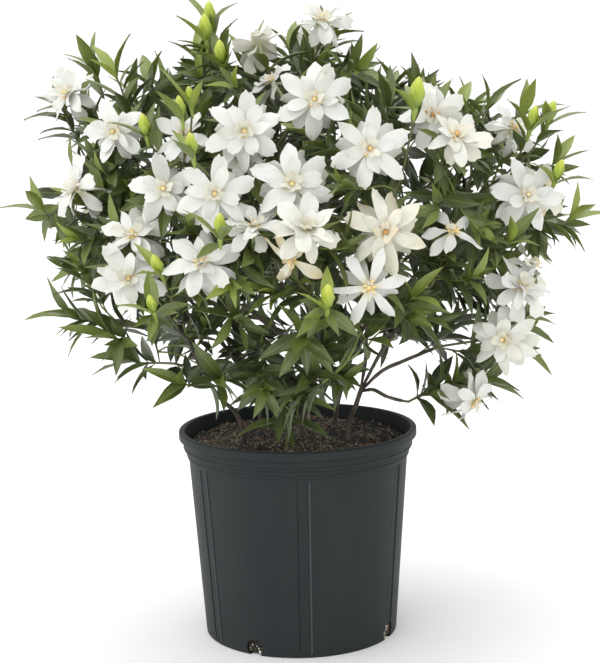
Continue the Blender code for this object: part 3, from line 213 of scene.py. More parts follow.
# Each spray: its blooms, its buds and its leafy shoots. A bud or a shoot is a place in mm, and a
# bud also has its length in mm.
SPRAYS = {
    "left_low": ((), (), ((-178, -85, 339), (-118, -165, 327), (-80, -160, 332), (-170, -60, 372))),
    "left_front": (("06", "05"), ((-140, -262, 420, 20), (-128, -250, 462, 24)),
                   ((-240, -110, 393), (-193, -140, 374))),
    "left_top": (("02", "04", "09"), ((-148, -190, 592, 24), (-112, -225, 612, 22), (-100, -215, 622, 20)),
                 ((-188, -80, 650), (-154, -40, 640))),
    "left_far": (("01", "03"), (), ((-256, -30, 631), (-222, 0, 660), (-278, -50, 505), (-248, 40, 458))),
    "back_left": (("32", "35", "37"), (),
                  ((-190, 130, 630), (-236, 70, 600), (-105, 215, 530), (-190, 175, 440), (-96, 110, 664))),
    "front_left": (("07", "08", "11"), ((-74, -290, 496, 24),), ((-60, -200, 400), (-150, -170, 430))),
    "front_low": (("18", "19", "22"), ((32, -292, 424, 28),),
                  ((10, -235, 385), (72, -215, 380), (18, -165, 334))),
    "front": (("17", "10", "12", "16"), ((-96, -268, 574, 24),), ((-30, -200, 480),)),
    "top": (("14", "13", "15"), ((-88, -112, 690, 28), (-84, -96, 708, 24), (-72, -130, 664, 26)),
            ((-45, -30, 660), (-99, -20, 662), (74, -10, 645), (0, 40, 676))),
    "right_low": (("30",), (), ((206, -60, 303), (146, -112, 300))),
    "right_side": (("29", "28", "28b"), (), ((258, -20, 368), (230, -40, 330), (192, -100, 347))),
    "front_right": (("21", "20"), ((128, -222, 612, 32),), ((104, -110, 612), (118, -215, 420))),
    "right_front": (("26", "27", "26b"), ((280, -150, 532, 24),), ((304, -80, 486), (222, -175, 470))),
    "right_top": (("24", "23"), (), ((180, -70, 604), (140, -40, 616), (104, -60, 614))),
    "right_far": (("25",), ((258, -128, 592, 26), (276, -112, 596, 24)),
                  ((258, -20, 598), (294, -30, 545), (296, 50, 474), (225, 20, 606))),
    "back_right": (("31", "36", "34"), (),
                   ((215, 130, 600), (175, 185, 530), (230, 150, 424), (120, 230, 410), (120, 80, 632))),
    "back": (("33", "38"), (),
             ((-40, 150, 655), (75, 190, 630), (30, 235, 490), (-25, 225, 400), (40, 60, 690))),
}
LOW_SHOOT_FOOT = (-12, -96)
LOW_BUD = 18 * MM
LOW_SHOOT = ((-14, -112, 296), (-0.10, -0.45, 0.90))


class Plan:
    """Keeps the faces of all that is already placed, in cells, so that a new piece can be tried on them."""

    CELL = 0.06

    def __init__(self):
        self.items = []
        self.cells = {}

    def cells_of(self, low, high):
        sides = [range(math.floor(low[i] / self.CELL), math.floor(high[i] / self.CELL) + 1) for i in range(3)]
        return itertools.product(*sides)

    def span(self, bm):
        points = [v.co for v in bm.verts]
        low = Vector([min(p[i] for p in points) for i in range(3)])
        high = Vector([max(p[i] for p in points) for i in range(3)])
        return low, high

    def around(self, bm):
        """What lies near a piece: (owner, label, faces)."""
        low, high = self.span(bm)
        found = {index for cell in self.cells_of(low, high) for index in self.cells.get(cell, ())}
        for index in sorted(found):
            owner, label, lo, hi, faces = self.items[index]
            if all(lo[i] <= high[i] and hi[i] >= low[i] for i in range(3)):
                yield owner, label, faces

    def crosses(self, bm, skip):
        """Whether a piece would cross another. skip holds owners, labels or pairs of both that it may."""
        near = [faces for owner, label, faces in self.around(bm)
                if not {owner, label, (owner, label)} & set(skip)]
        if not near:
            return False
        tree = BVHTree.FromBMesh(bm)
        return any(tree.overlap(faces) for faces in near)

    def is_clear(self, bm, *skip):
        """Whether a trial piece crosses nothing. The trial piece is let go."""
        clear = not self.crosses(bm, skip)
        bm.free()
        return clear

    def add(self, bm, node, label=""):
        """Keeps a piece's faces. The piece itself is let go."""
        low, high = self.span(bm)
        for cell in self.cells_of(low, high):
            self.cells.setdefault(cell, []).append(len(self.items))
        self.items.append((node, label, low, high, BVHTree.FromBMesh(bm)))
        bm.free()


def frame_at(origin, along, normal):
    """A matrix whose Y runs along and whose Z is as near to normal as it can be."""
    y = Vector(along).normalized()
    x = y.cross(Vector(normal))
    if x.length < 1e-4:
        x = y.orthogonal()
    x.normalize()
    z = x.cross(y)
    turned = Matrix((x, y, z)).transposed().to_4x4()
    turned.translation = origin
    return turned


def bowed(s, length, bend):
    """Where a point s along a blade comes to lie when the blade is bent: forward, up, and its turn."""
    turn = bend * s / length
    return math.sin(turn) * length / bend, (math.cos(turn) - 1.0) * length / bend, turn


def blade(place, outline, across, thick, bend, fold, grow=0.0):
    """A thin blade. outline holds (distance along, half width); bend is in radians over its length."""
    length = outline[-1][0]
    rows = len(outline) - 1
    bm = bmesh.new()
    bmesh.ops.create_grid(bm, x_segments=across, y_segments=rows, size=0.5)
    for v in bm.verts:
        row = round((v.co.y + 0.5) * rows)
        side = round(2.0 * v.co.x, 3)
        s, half = outline[row]
        reach, rise, turn = bowed(s, length, bend)
        if half > 0.0:
            half += grow
        lift = fold * abs(side) * half
        v.co = (side * half, reach + lift * math.sin(turn), rise + lift * math.cos(turn))
    bmesh.ops.remove_doubles(bm, verts=bm.verts, dist=1e-6)
    bmesh.ops.triangulate(bm, faces=bm.faces)
    bmesh.ops.transform(bm, matrix=place @ Matrix.Translation((0, 0, (thick + 2 * grow) / 2)), verts=bm.verts)
    bmesh.ops.solidify(bm, geom=bm.faces[:], thickness=thick + 2 * grow)
    bmesh.ops.recalc_face_normals(bm, faces=bm.faces)
    return bm


def join_rings(bm, rings, sides):
    """Joins each ring of points to the next and closes the ends. A ring of one point is a tip."""
    for lower, upper in zip(rings, rings[1:]):
        for k in range(sides):
            corners = [lower[k % len(lower)], lower[(k + 1) % len(lower)],
                       upper[(k + 1) % len(upper)], upper[k % len(upper)]]
            bm.faces.new(list(dict.fromkeys(corners)))
    for ring in (rings[0], rings[-1]):
        if len(ring) > 1:
            bm.faces.new(ring)


def close_skin(bm):
    """Triangles only, all facing outwards."""
    bmesh.ops.triangulate(bm, faces=bm.faces)
    bmesh.ops.recalc_face_normals(bm, faces=bm.faces)


def turned_body(place, profile, sides):
    """A closed body turned about its Z from (radius, height) pairs, its ends on or off the axis."""
    bm = bmesh.new()
    rings = []
    for radius, height in profile:
        if radius <= 0.0:
            rings.append([bm.verts.new((0, 0, height))])
            continue
        turns = [2 * math.pi * k / sides for k in range(sides)]
        rings.append([bm.verts.new((radius * math.cos(a), radius * math.sin(a), height)) for a in turns])
    join_rings(bm, rings, sides)
    close_skin(bm)
    bmesh.ops.transform(bm, matrix=place, verts=bm.verts)
    return bm


def rod(points, radii, sides=4, grow=0.0):
    """A tapered rod along a path, with flat ends."""
    bm = bmesh.new()
    rings = []
    side = Vector((0, 0, 1)).cross(points[1] - points[0])
    if side.length < 1e-6:
        side = Vector((1, 0, 0))
    for k, (point, radius) in enumerate(zip(points, radii)):
        before = points[max(k - 1, 0)]
        after = points[min(k + 1, len(points) - 1)]
        heading = (after - before).normalized()
        side = (side - heading * side.dot(heading)).normalized()
        other = heading.cross(side)
        ring = []
        for j in range(sides):
            a = 2 * math.pi * j / sides
            ring.append(bm.verts.new(point + (side * math.cos(a) + other * math.sin(a)) * (radius + grow)))
        rings.append(ring)
    join_rings(bm, rings, sides)
    close_skin(bm)
    return bm


def bezier(p0, d0, p3, d3, count, start=0.4, end=0.35):
    span = (p3 - p0).length
    p1 = p0 + d0 * span * start
    p2 = p3 - d3 * span * end
    points = []
    for k in range(count + 1):
        t = k / count
        s = 1 - t
        points.append(p0 * s ** 3 + p1 * 3 * s * s * t + p2 * 3 * s * t * t + p3 * t ** 3)
    return points


def length_of(points):
    return sum((b - a).length for a, b in zip(points, points[1:]))


def jitter(rng, size):
    return Vector((rng.uniform(-size, size), rng.uniform(-size, size), rng.uniform(-size, size)))


def seeded(*labels):
    """Random draws that are the same each run, for what the labels name."""
    return random.Random(" ".join(str(label) for label in (SEED, *labels)))


def unit(values):
    return Vector(values).normalized()


def metres(values):
    return Vector(values) * MM


def petal_outline(length, width, tier):
    return ((0.0, 0.0), (length * 0.56, width * 0.50), (length, width * (0.20, 0.0)[tier]))


def leaf_outline(length, width):
    return ((0.0, 0.0), (length * 0.46, width * 0.52), (length, 0.0))


def petal_place(hub, angle, rise, height):
    """Where a petal springs: its angle round the hub, its rise in degrees and its height in mm."""
    a = math.radians(rise)
    out = Vector((math.cos(angle), math.sin(angle), 0))
    along = out * math.cos(a) + Vector((0, 0, math.sin(a)))
    up = Vector((0, 0, math.cos(a))) - out * math.sin(a)
    return hub @ frame_at(Vector((0, 0, height * MM)), along, up)


def petal_blade(place, length, width, bend, tier):
    return blade(place, petal_outline(length, width, tier), 1, PETAL_THICK, bend, 0.0)


def lay_bloom(plan, name, centre, turn, rng):
    """One bloom's pieces. A petal that would cross another bloom is bent clear of it."""
    _, facing, radius, upper, lower, lift, droop = BLOOMS[name]
    facing = unit(facing)
    node = "bloom_" + FUSED_BLOOMS.get(name, name)
    sides = max(upper, 4)
    hub = frame_at(centre, facing.orthogonal(), facing) @ Matrix.Rotation(turn, 4, "Z")
    bloom = {"node": node, "hub": hub, "sides": sides, "petals": []}
    for tier, (count, rise, height) in enumerate(((upper, lift, 0.8), (lower, droop, -2.0))):
        for k in range(count):
            face = k if tier == 0 else (k * sides) // count
            angle = 2 * math.pi * (face + 0.5 * (tier == 0)) / sides
            width = rng.uniform(15.0, 17.5) * MM * radius / 38 * SLIM_PETALS.get(name, 1.0)
            length = radius * rng.uniform(0.92, 1.05) * MM
            base = rise + rng.uniform(-6, 6)
            bend = math.radians(rng.uniform(15, 45))
            for change, scale in PETAL_TRIES:
                place = petal_place(hub, angle, base + change, height)
                outline = ((0.0, PETAL_ROOT),) + petal_outline(length * scale, width, tier)[1:]
                if plan.is_clear(blade(place, outline, 1, PETAL_THICK, bend, 0.0, PETAL_ROOM), node):
                    bloom["petals"].append((place, length * scale, width, bend, tier, face))
                    break
    return bloom


def bloom_body(bloom):
    """One bloom as a single skin: a hub with a tube below it, its petals drawn out of the hub's sides."""
    bm = bmesh.new()
    sides = bloom["sides"]
    levels = ((3.6, 1.2, 0.0), (3.8, 0.3, 0.0), (3.4, -1.6, 0.5), (3.0, -2.6, 0.5), (2.2, -24.0, 0.5))
    rings = []
    for radius, height, shift in levels:
        turns = [2 * math.pi * (k + shift) / sides for k in range(sides)]
        ring = [Vector((radius * math.cos(a), radius * math.sin(a), height)) * MM for a in turns]
        rings.append([bm.verts.new(bloom["hub"] @ point) for point in ring])
    tip = bm.verts.new(bloom["hub"] @ Vector((0, 0, 3.2 * MM)))
    roots = {(petal[4], petal[5]): petal[:4] for petal in bloom["petals"]}
    for k in range(sides):
        n = (k + 1) % sides
        bm.faces.new((rings[0][k], rings[0][n], tip))
        bm.faces.new((rings[1][n], rings[1][k], rings[2][k]))
        bm.faces.new((rings[1][n], rings[2][k], rings[2][n]))
        bm.faces.new((rings[3][n], rings[3][k], rings[4][k], rings[4][n]))
        for tier, upper, lower, face in ((0, rings[0], rings[1], k), (1, rings[2], rings[3], n)):
            corners = [upper[k], upper[n], lower[n], lower[k]]
            petal = roots.get((tier, face))
            if petal is None:
                bm.faces.new(corners[::-1])
                continue
            place, length, width, bend = petal
            for row in (1, 2):
                ends = station(place, petal_outline(length, width, tier), row, PETAL_THICK, bend)
                if tier and row == 2:
                    upper_tip, lower_tip = bm.verts.new(ends[0]), bm.verts.new(ends[2])
                    ends = [upper_tip, upper_tip, lower_tip, lower_tip]
                else:
                    ends = [bm.verts.new(point) for point in ends]
                for j in range(4):
                    m = (j + 1) % 4
                    around = (corners[m], corners[j], ends[j], ends[m])
                    bm.faces.new(list(dict.fromkeys(around)))
                corners = ends
            if tier == 0:
                bm.faces.new(corners[::-1])
    bm.faces.new(rings[4][::-1])
    close_skin(bm)
    return bm


def station(place, outline, row, thick, bend, fold=0.0):
    """The four corners of a blade's section, from its right upper corner round to its right lower one."""
    s, half = outline[row]
    reach, rise, turn = bowed(s, outline[-1][0], bend)
    up = Vector((0, math.sin(turn), math.cos(turn))) * thick / 2
    middle = Vector((0, reach, rise)) + up.normalized() * fold * half
    side = Vector((half, 0, 0))
    corners = (middle + side + up, middle - side + up, middle - side - up, middle + side - up)
    return [place @ corner for corner in corners]


def keep_bloom(plan, name, bloom):
    for place, length, width, bend, tier, _ in bloom["petals"]:
        plan.add(petal_blade(place, length, width, bend, tier), bloom["node"], "petal")
    plan.add(bloom_body(bloom), bloom["node"], "body_" + name)


def lay_tube(plan, name, bloom):
    plan.add(turned_body(bloom["hub"], TUBE_PROFILE, bloom["sides"]), bloom["node"], "tube_" + name)


def short_petals(bloom):
    """The faces of each petal of a bloom, a little shorter and narrower than it is."""
    faces = []
    for place, length, width, bend, tier, _ in bloom["petals"]:
        petal = petal_blade(place, length * 0.9, width * 0.9, bend, tier)
        faces.append(BVHTree.FromBMesh(petal))
        petal.free()
    return faces


def petals_meet(bloom, partner):
    """Whether a petal of one bloom passes through a petal of another."""
    others = short_petals(partner)
    return any(one.overlap(two) for one in short_petals(bloom) for two in others)


def plan_blooms(plan):
    """All blooms. One that shares its node is drawn towards its partner until their petals join."""
    blooms = {}
    for name, row in BLOOMS.items():
        if name not in FUSED_BLOOMS:
            rng = seeded(name)
            blooms[name] = lay_bloom(plan, name, metres(row[0]), rng.uniform(0, 6.28), rng)
            lay_tube(plan, name, blooms[name])
    for name in list(blooms):
        rng = seeded(name)
        centre = blooms[name]["hub"].translation.copy()
        blooms[name] = lay_bloom(plan, name, centre, rng.uniform(0, 6.28), rng)
        keep_bloom(plan, name, blooms[name])
    for name, partner in FUSED_BLOOMS.items():
        home = metres(BLOOMS[partner][0])
        own = metres(BLOOMS[name][0])
        for attempt in range(FUSE_PULLS * FUSE_TURNS):
            rng = seeded(name, attempt % FUSE_TURNS)
            centre = home.lerp(own, 1.0 - FUSE_PULL * (attempt // FUSE_TURNS))
            bloom = lay_bloom(plan, name, centre, rng.uniform(0, 6.28), rng)
            if petals_meet(bloom, blooms[partner]) and len(bloom["petals"]) >= 4:
                break
        blooms[name] = bloom
        lay_tube(plan, name, bloom)
        keep_bloom(plan, name, bloom)
    return blooms


def stem_foot(place):
    """The foot of a stem in the soil, and where it comes out of the soil."""
    x, y = place[0] * MM, place[1] * MM
    return Vector((x, y, SOIL_Z - STEM_DEPTH)), Vector((x, y, SOIL_Z + STEM_COLLAR))


def plan_stems(plan):
    """Paths of each woody stem: the trunk from the soil, then a branch to each end."""
    rng = random.Random(SEED + 1)
    stems = {}
    for name, (foot, fork, radius, ends) in STEMS.items():
        node = "stem_" + name
        foot, collar = stem_foot(foot)
        fork = metres(fork)
        lean = (fork - collar).normalized()
        heading = (lean + Vector((0, 0, 0.4))).normalized()
        trunk = [foot] + bezier(collar, Vector((0, 0, 1)), fork, heading, 3)
        thick = [(radius + 0.8 - 0.8 * k / 4) * MM for k in range(5)]
        plan.add(rod(trunk, thick, STEM_SIDES), node, "trunk")
        stems[name] = {"node": node, "ends": {}, "rods": [(trunk, thick)]}
    for name, (foot, fork, radius, ends) in STEMS.items():
        stem = stems[name]
        trunk = stem["rods"][0][0]
        for spray, (end, out) in ends.items():
            end, out = metres(end), unit(out)
            start = trunk[3].lerp(trunk[4], 0.7)
            lead = (trunk[4] - trunk[3]).normalized()
            for attempt in range(BRANCH_TRIES):
                shift = jitter(rng, min(attempt, 20) * 1.5 * MM)
                first = (lead + (end - start).normalized() * 0.6).normalized()
                path = bezier(start, first, end + shift * 0.3, (out + shift * 12).normalized(), 3)
                if plan.is_clear(rod(path, [2.4 * MM] * 4, 5, 1.0 * MM), stem["node"]):
                    break
            sizes = [(radius * 0.9 - (radius * 0.9 - 2.0) * k / 3) * MM for k in range(4)]
            sizes[0] = radius * 0.55 * MM
            plan.add(rod(path, sizes, 4), stem["node"], "branch")
            stem["rods"].append((path, sizes))
            stem["ends"][spray] = (path[-1], (path[-1] - path[-2]).normalized())
    return stems


def spray_targets(blooms, own_blooms, buds, shoots):
    """What the twigs of a spray lead to: (kind, place, heading there, bloom's name or bud's length)."""
    targets = []
    for name in own_blooms:
        hub = blooms[name]["hub"]
        facing = hub.to_3x3() @ Vector((0, 0, 1))
        targets.append(("bloom", hub.translation - facing * (TUBE_LENGTH + GAP), facing, name))
    for bud in buds:
        place = metres(bud[:3])
        out = (place - CROWN_HEART).normalized() * 0.5 + Vector((0, -0.05, 1.0))
        targets.append(("bud", place, out.normalized(), bud[3] * MM))
    for shoot in shoots:
        place = metres(shoot)
        out = (place - CROWN_HEART).normalized() + Vector((0, 0, 0.25))
        targets.append(("shoot", place, out.normalized(), None))
    return targets


def twig_starts(twigs, place):
    """Where a twig to a place may fork off those that are there, the nearest and straightest first."""
    starts = []
    for twig in twigs:
        points = twig["points"]
        for k in range(1, max(2, len(points) * 2 // 3)):
            heading = (points[k] - points[k - 1]).normalized()
            reach = place - points[k]
            if reach.length >= SHORTEST_TWIG:
                starts.append((reach.length * (1.0 + 0.6 * heading.angle(reach)), points[k], heading, False))
    return sorted(starts, key=lambda start: start[0])


def plan_sprays(plan, blooms, stems):
    """Twigs of each spray, from a stem's end to each bloom, bud and shoot."""
    rng = random.Random(SEED + 2)
    sprays = {}
    ends = {spray: end for stem in stems.values() for spray, end in stem["ends"].items()}
    for name, (own_blooms, buds, shoots) in SPRAYS.items():
        node = "spray_" + name
        root, lead = ends[name]
        targets = spray_targets(blooms, own_blooms, buds, shoots)
        spray = {"node": node, "twigs": []}
        for kind, place, facing, extra in targets:
            starts = twig_starts(spray["twigs"], place)
            if not spray["twigs"]:
                starts = [(0.0, root + lead * GAP, lead, True)]
            best = None
            for attempt in range(TWIG_TRIES):
                _, start, heading, fresh = starts[(attempt // 6) % len(starts)]
                reach = (place - start).normalized()
                shift = jitter(rng, 0.05 * min(attempt, 20))
                goal, aim = place, facing
                if kind != "bloom":
                    goal = place + jitter(rng, min(attempt, 12) * 0.6 * MM)
                    aim = (facing + shift * 0.4).normalized()
                first = heading if fresh else (heading * 0.7 + reach).normalized()
                steps = 3 if (goal - start).length > 0.14 else 2
                neck, last = goal - aim * 7 * MM, (aim + shift * 0.5).normalized()
                if fresh:
                    near = start + first * 6 * MM
                    points = [start] + bezier(near, first, neck, last, steps, 0.35 + 0.3 * abs(shift.x), 0.35)
                else:
                    points = bezier(start, (first + shift).normalized(), neck, last, steps, 0.35, 0.35)
                points.append(goal)
                near_end = points[:-1] + [goal - aim * 0.8 * MM]
                tested = near_end
                if fresh:
                    tested = [near_end[0] + first * 1.5 * MM] + near_end[1:]
                skip = (node,) if kind != "bloom" else (node, "tube_" + extra, "body_" + extra)
                if plan.is_clear(rod(tested, [1.9 * MM] * len(tested), 4, 0.8 * MM), *skip):
                    best = points
                    break
            if best is None:
                continue
            count = len(best)
            base = 1.9 if fresh else 1.5
            sizes = [(base - (base - 1.2) * k / (count - 1)) * MM for k in range(count)]
            if not fresh:
                sizes[0] = 0.7 * MM
            if kind == "bloom":
                sizes[-1] = CALYX_RADIUS
            plan.add(rod(best, sizes, TWIG_SIDES), node, f"twig_{len(spray['twigs'])}")
            spray["twigs"].append({"points": best, "sizes": sizes, "kind": kind, "extra": extra, "nodes": []})
            if kind == "bud":
                plan.add(bud_body(best[-1], aim, extra), node, "bud")
        sprays[name] = spray
    return sprays


def bud_body(foot, facing, length):
    place = frame_at(foot, facing.orthogonal(), facing)
    wide, tip = length * BUD_WIDE, length * BUD_TIP
    profile = ((1.2 * MM, 0.0), (wide, length * 0.42), (tip, length * 0.78), (0.0, length))
    return turned_body(place, profile, 4)


def place_along(points, distance):
    """The point and the heading at a distance along a path."""
    left = distance
    for k in range(1, len(points)):
        step = points[k] - points[k - 1]
        if left <= step.length + 1e-7 or k == len(points) - 1:
            return points[k - 1] + step * min(left / step.length, 1.0), step.normalized()
        left -= step.length
    return None


def side_along(points, distance):
    """A direction across the path, carried along it without turning about it."""
    side = Vector((0, 0, 1)).cross(points[1] - points[0])
    if side.length < 1e-6:
        side = Vector((1, 0, 0))
    left = distance
    for k in range(1, len(points)):
        step = points[k] - points[k - 1]
        heading = step.normalized()
        side = (side - heading * side.dot(heading)).normalized()
        if left <= step.length + 1e-7:
            break
        left -= step.length
    return side


def leaf_nodes(twig, rng):
    """The nodes of a twig: distance back from its end, and the leaves and lean at each."""
    rows = []
    length = length_of(twig["points"])
    kind = twig["kind"]
    back = {"bloom": 9.0, "bud": 6.0, "shoot": 0.45}[kind] * MM
    while back < length * 0.75:
        tuft = kind == "shoot" and not rows
        rows.append((back, 3 if tuft else 2, 27 if tuft else 42))
        back += rng.uniform(19, 26) * MM
    return rows


def leaf_places(twig, at, angle, face, leans):
    """Where a leaf may spring from one side of a twig, at each of some leans in degrees."""
    origin, heading = place_along(twig["points"], at)
    side = side_along(twig["points"], at)
    turn = angle + 2 * math.pi * (face + 0.5) / TWIG_SIDES
    radial = side * math.cos(turn) + heading.cross(side) * math.sin(turn)
    across_twig = heading.cross(radial)
    for lean in leans:
        tilt = math.radians(lean)
        along = heading * math.cos(tilt) + radial * math.sin(tilt)
        along = (along + Vector((0, 0, 0.12))).normalized()
        normal = heading * math.sin(tilt) - radial * math.cos(tilt)
        skyward = normal + Vector((0, 0, 0.8))
        if along.cross(skyward).normalized().dot(across_twig) < -0.5:
            normal = skyward
        yield frame_at(origin, along, normal)


def try_leaf(plan, node, index, twig, at, angle, face, lean, values):
    """A leaf from one side of a twig, or None where each lean of it would cross something."""
    length, ratio, bend = values
    if place_along(twig["points"], at)[0].z < LARGE_LEAVES_BELOW:
        length *= 1.15
    width = length * ratio
    across = 2 if length > LARGE_LEAF else 1
    outline = ((0.0, LEAF_ROOT),) + leaf_outline(length, width)[1:]
    for place in leaf_places(twig, at, angle, face, [lean + change for change in LEAF_TRIES]):
        test = blade(place, outline, across, LEAF_THICK, bend, LEAF_FOLD[across], LEAF_ROOM)
        if plan.is_clear(test, (node, f"twig_{index}")):
            return place, length, width, bend, across
    return None


def plan_pot(plan):
    """The pot's and the soil's outside, for leaves to keep clear of."""
    rim, inside = LIP_RADIUS + 1 * MM, LIP_RADIUS - LIP_THICK - 2 * MM
    profile = ((0.0, 0.0), (rim, 0.0), (rim, POT_HEIGHT + 1 * MM), (inside, POT_HEIGHT + 1 * MM),
               (inside, SOIL_Z + 4 * MM), (0.0, SOIL_Z + 8 * MM))
    plan.add(turned_body(Matrix.Identity(4), profile, POT_SIDES), "pot")


def plan_low_shoot(plan, sprays):
    """The small shoot that stands alone in the soil at the front."""
    place, heading = metres(LOW_SHOOT[0]), unit(LOW_SHOOT[1])
    foot, collar = stem_foot(LOW_SHOOT_FOOT)
    path = [foot] + bezier(collar, Vector((0, 0, 1)), place, heading, 3)
    sizes = [1.9 * MM, 1.9 * MM, 1.7 * MM, 1.5 * MM, 1.3 * MM]
    node = "spray_low_shoot"
    plan.add(rod(path, sizes, 4), node, "twig_0")
    plan.add(bud_body(place, heading, LOW_BUD), node, "bud")
    twig = {"points": path, "sizes": sizes, "kind": "bud", "extra": LOW_BUD, "nodes": [],
            "most": 3, "droop": 38}
    sprays["low_shoot"] = {"node": node, "twigs": [twig]}


def plan_leaves(plan, sprays, most_nodes):
    """Leaves in whorls at each twig's nodes, the twigs' ends first, turned clear of what is there."""
    for level in range(max(most_nodes.values())):
        for spray in sprays.values():
            for index, twig in enumerate(spray["twigs"]):
                if level >= twig.get("most", most_nodes[twig["kind"]]):
                    continue
                rng = seeded(spray["node"], index)
                rows = leaf_nodes(twig, rng)
                if level >= len(rows):
                    continue
                back, wanted, lean = rows[level]
                lean += twig.get("droop", 0)
                wanted += "most" in twig
                wanted -= level * (index % 2)
                rng = seeded(spray["node"], index, level)
                at = length_of(twig["points"]) - back
                values = []
                for _ in range(TWIG_SIDES):
                    length, ratio = rng.uniform(42, 57) * MM, rng.uniform(0.23, 0.27)
                    values.append((length, ratio, math.radians(rng.uniform(10, 45))))
                lean += rng.uniform(-6, 6)
                start = twig["nodes"][-1]["turn"] + math.pi / 3 if twig["nodes"] else rng.uniform(0, 2.1)
                best = {"back": back, "turn": start, "leaves": {}}
                for change in (0, 0.35, -0.35, 0.7, -0.7):
                    leaves = {}
                    turn = start + change
                    for face in range(TWIG_SIDES):
                        leaf = try_leaf(plan, spray["node"], index, twig, at, turn, face, lean, values[face])
                        if leaf and len(leaves) < wanted:
                            leaves[face] = leaf
                    if len(leaves) > len(best["leaves"]):
                        best = {"back": back, "turn": start + change, "leaves": leaves}
                    if len(leaves) >= wanted:
                        break
                twig["nodes"].append(best)
                for place, length, width, bend, across in best["leaves"].values():
                    outline, fold = leaf_outline(length, width), LEAF_FOLD[across]
                    plan.add(blade(place, outline, across, LEAF_THICK, bend, fold), spray["node"], "leaf")


# What the looks add to the plan.
BENDS = (0.22, 0.38, 0.54, 0.70)
# Petals of the middle and of the inner tier, for the blooms that are fuller or plainer than most.
TIERS = {"04": (5, 4), "18": (6, 6), "28": (6, 4), "29": (6, 4), "11": (4, 3), "19": (2, 3), "26b": (1, 2),
         "28b": (2, 3), "27": (0, 1), "22": (0, 2), "25": (2, 4), "15": (5, 3), "07": (5, 4), "08": (4, 4)}
# How far a bloom has turned cream.
CREAM = {"19": 0.50, "21": 0.26, "26b": 0.60, "12": 0.12, "28b": 0.22, "13": 0.15, "18": 0.08, "29": 0.06,
         "24": 0.12, "05": 0.06, "35": 0.2, "38": 0.1}
# How far a bloom's heart has browned.
BROWN_HEARTS = {"12": 0.6, "21": 0.5, "23": 0.5, "24": 0.3, "20": 0.2}
LEAF_LEVELS = {"bloom": 5, "bud": 4, "shoot": 7}
VIEW_SIDE = Vector((0.0, -1.8, 0.63))
FILLER_TWIGS = 255
MOST_CROWDED = 3.8
FRAME_SPAN = ((-0.3365, 0.3510), (-0.3425, 0.2785), (0.235, 0.7385))
CROWN_CENTRE = Vector((0.005, -0.02, 0.475))
CROWN_REACH = Vector((0.272, 0.235, 0.200))
# How strongly the room lights the plant, how bright it is seen, and the light from one side.
ROOM_LIGHT, ROOM_SEEN, KEY_LIGHT = 0.97, 1.06, 1.35
# The camera: its place, its lens in mm, and its pitch and roll in degrees.
EYE, LENS, PITCH, ROLL = (0.0051, -1.8, 0.633), 93.6, -8.735, -1.158
# The fan: the height where it starts, where it is at its widest, and its share of that width at the start.
FAN_LOW, FAN_HIGH, FAN_FOOT = 0.24, 0.44, 0.42
# The low leaves in the middle of the front.
LOW_CENTRE, LOW_REACH = Vector((0.000, -0.09, 0.345)), Vector((0.095, 0.11, 0.06))
# Where the crown is open from front to back: across, height and reach.
OPEN_PLACES = ((0.080, 0.328, 0.020), (0.128, 0.332, 0.018), (0.064, 0.284, 0.024),
               (-0.120, 0.300, 0.034), (-0.275, 0.555, 0.028), (-0.205, 0.655, 0.022))


def fill_bloom(plan, name, bloom):
    """The petals that the solid leaves out: more of the lower tier, a middle tier and small inner ones."""
    rng = seeded("more", name)
    _, _, radius, _, lower, lift, droop = BLOOMS[name]
    sides, hub = bloom["sides"], bloom["hub"]
    slim = SLIM_PETALS.get(name, 1.0)
    taken = {face for _, _, _, _, tier, face in bloom["petals"] if tier == 1}
    free = [face for face in range(sides) if face not in taken]
    rng.shuffle(free)
    middle, inner = TIERS.get(name, (rng.choice((4, 5, 6)), rng.choice((3, 4, 4))))
    fall = min(droop, -12)
    rows = [(1, face / sides, 0.97, fall * rng.uniform(0.5, 0.9), -2.0) for face in free[:lower + 2]]
    rows += [(2, (k + 0.25) / max(middle, 1), 0.72, lift * 0.6 + 18.0, 1.6) for k in range(middle)]
    rows += [(3, (k + 0.6) / max(inner, 1), 0.44, 46.0, 2.2) for k in range(inner)]
    fine = []
    for tier, share, reach, rise, height in rows:
        angle = 2 * math.pi * share + rng.uniform(-0.25, 0.25)
        width = rng.uniform(14.5, 17.5) * MM * radius / 38 * slim * (1.0, 1.0, 0.82, 0.60)[tier]
        length = radius * reach * rng.uniform(0.80, 1.02) * MM
        bend = math.radians(rng.uniform(16, 40)) * (1, 1, 0.7, -0.8)[tier]
        for change in (0, 10, -10, 20, -20):
            place = petal_place(hub, angle, rise + change + rng.uniform(-7, 7), height)
            test = blade(place, petal_outline(length, width, 1), 1, PETAL_THICK, bend, 0.0, 0.4 * MM)
            if within_frame(test) and not plan.crosses(test, [bloom["node"]]):
                plan.add(test, bloom["node"], "petal")
                fine.append((place, length, width, bend, tier))
                break
            test.free()
    bloom["fine"] = fine


def clear_view(plan, name, bloom):
    """Keeps the air in front of a bloom open, out along its face and towards the front of the plant."""
    radius = BLOOMS[name][2] * MM
    hub = bloom["hub"]
    seen = [frame_at(hub.translation, hub.to_3x3().col[1], hub.to_3x3().col[2])]
    reach = [0.05]
    if hub.translation.y < 0.06:
        view = (VIEW_SIDE - hub.translation).normalized()
        seen.append(frame_at(hub.translation, view.orthogonal(), view))
        reach.append(0.13)
    for place, depth in zip(seen, reach):
        profile = ((radius * 0.55, 4 * MM), (radius * 0.85, 16 * MM), (radius * 0.80, depth))
        plan.add(turned_body(place, profile, 8), "air")


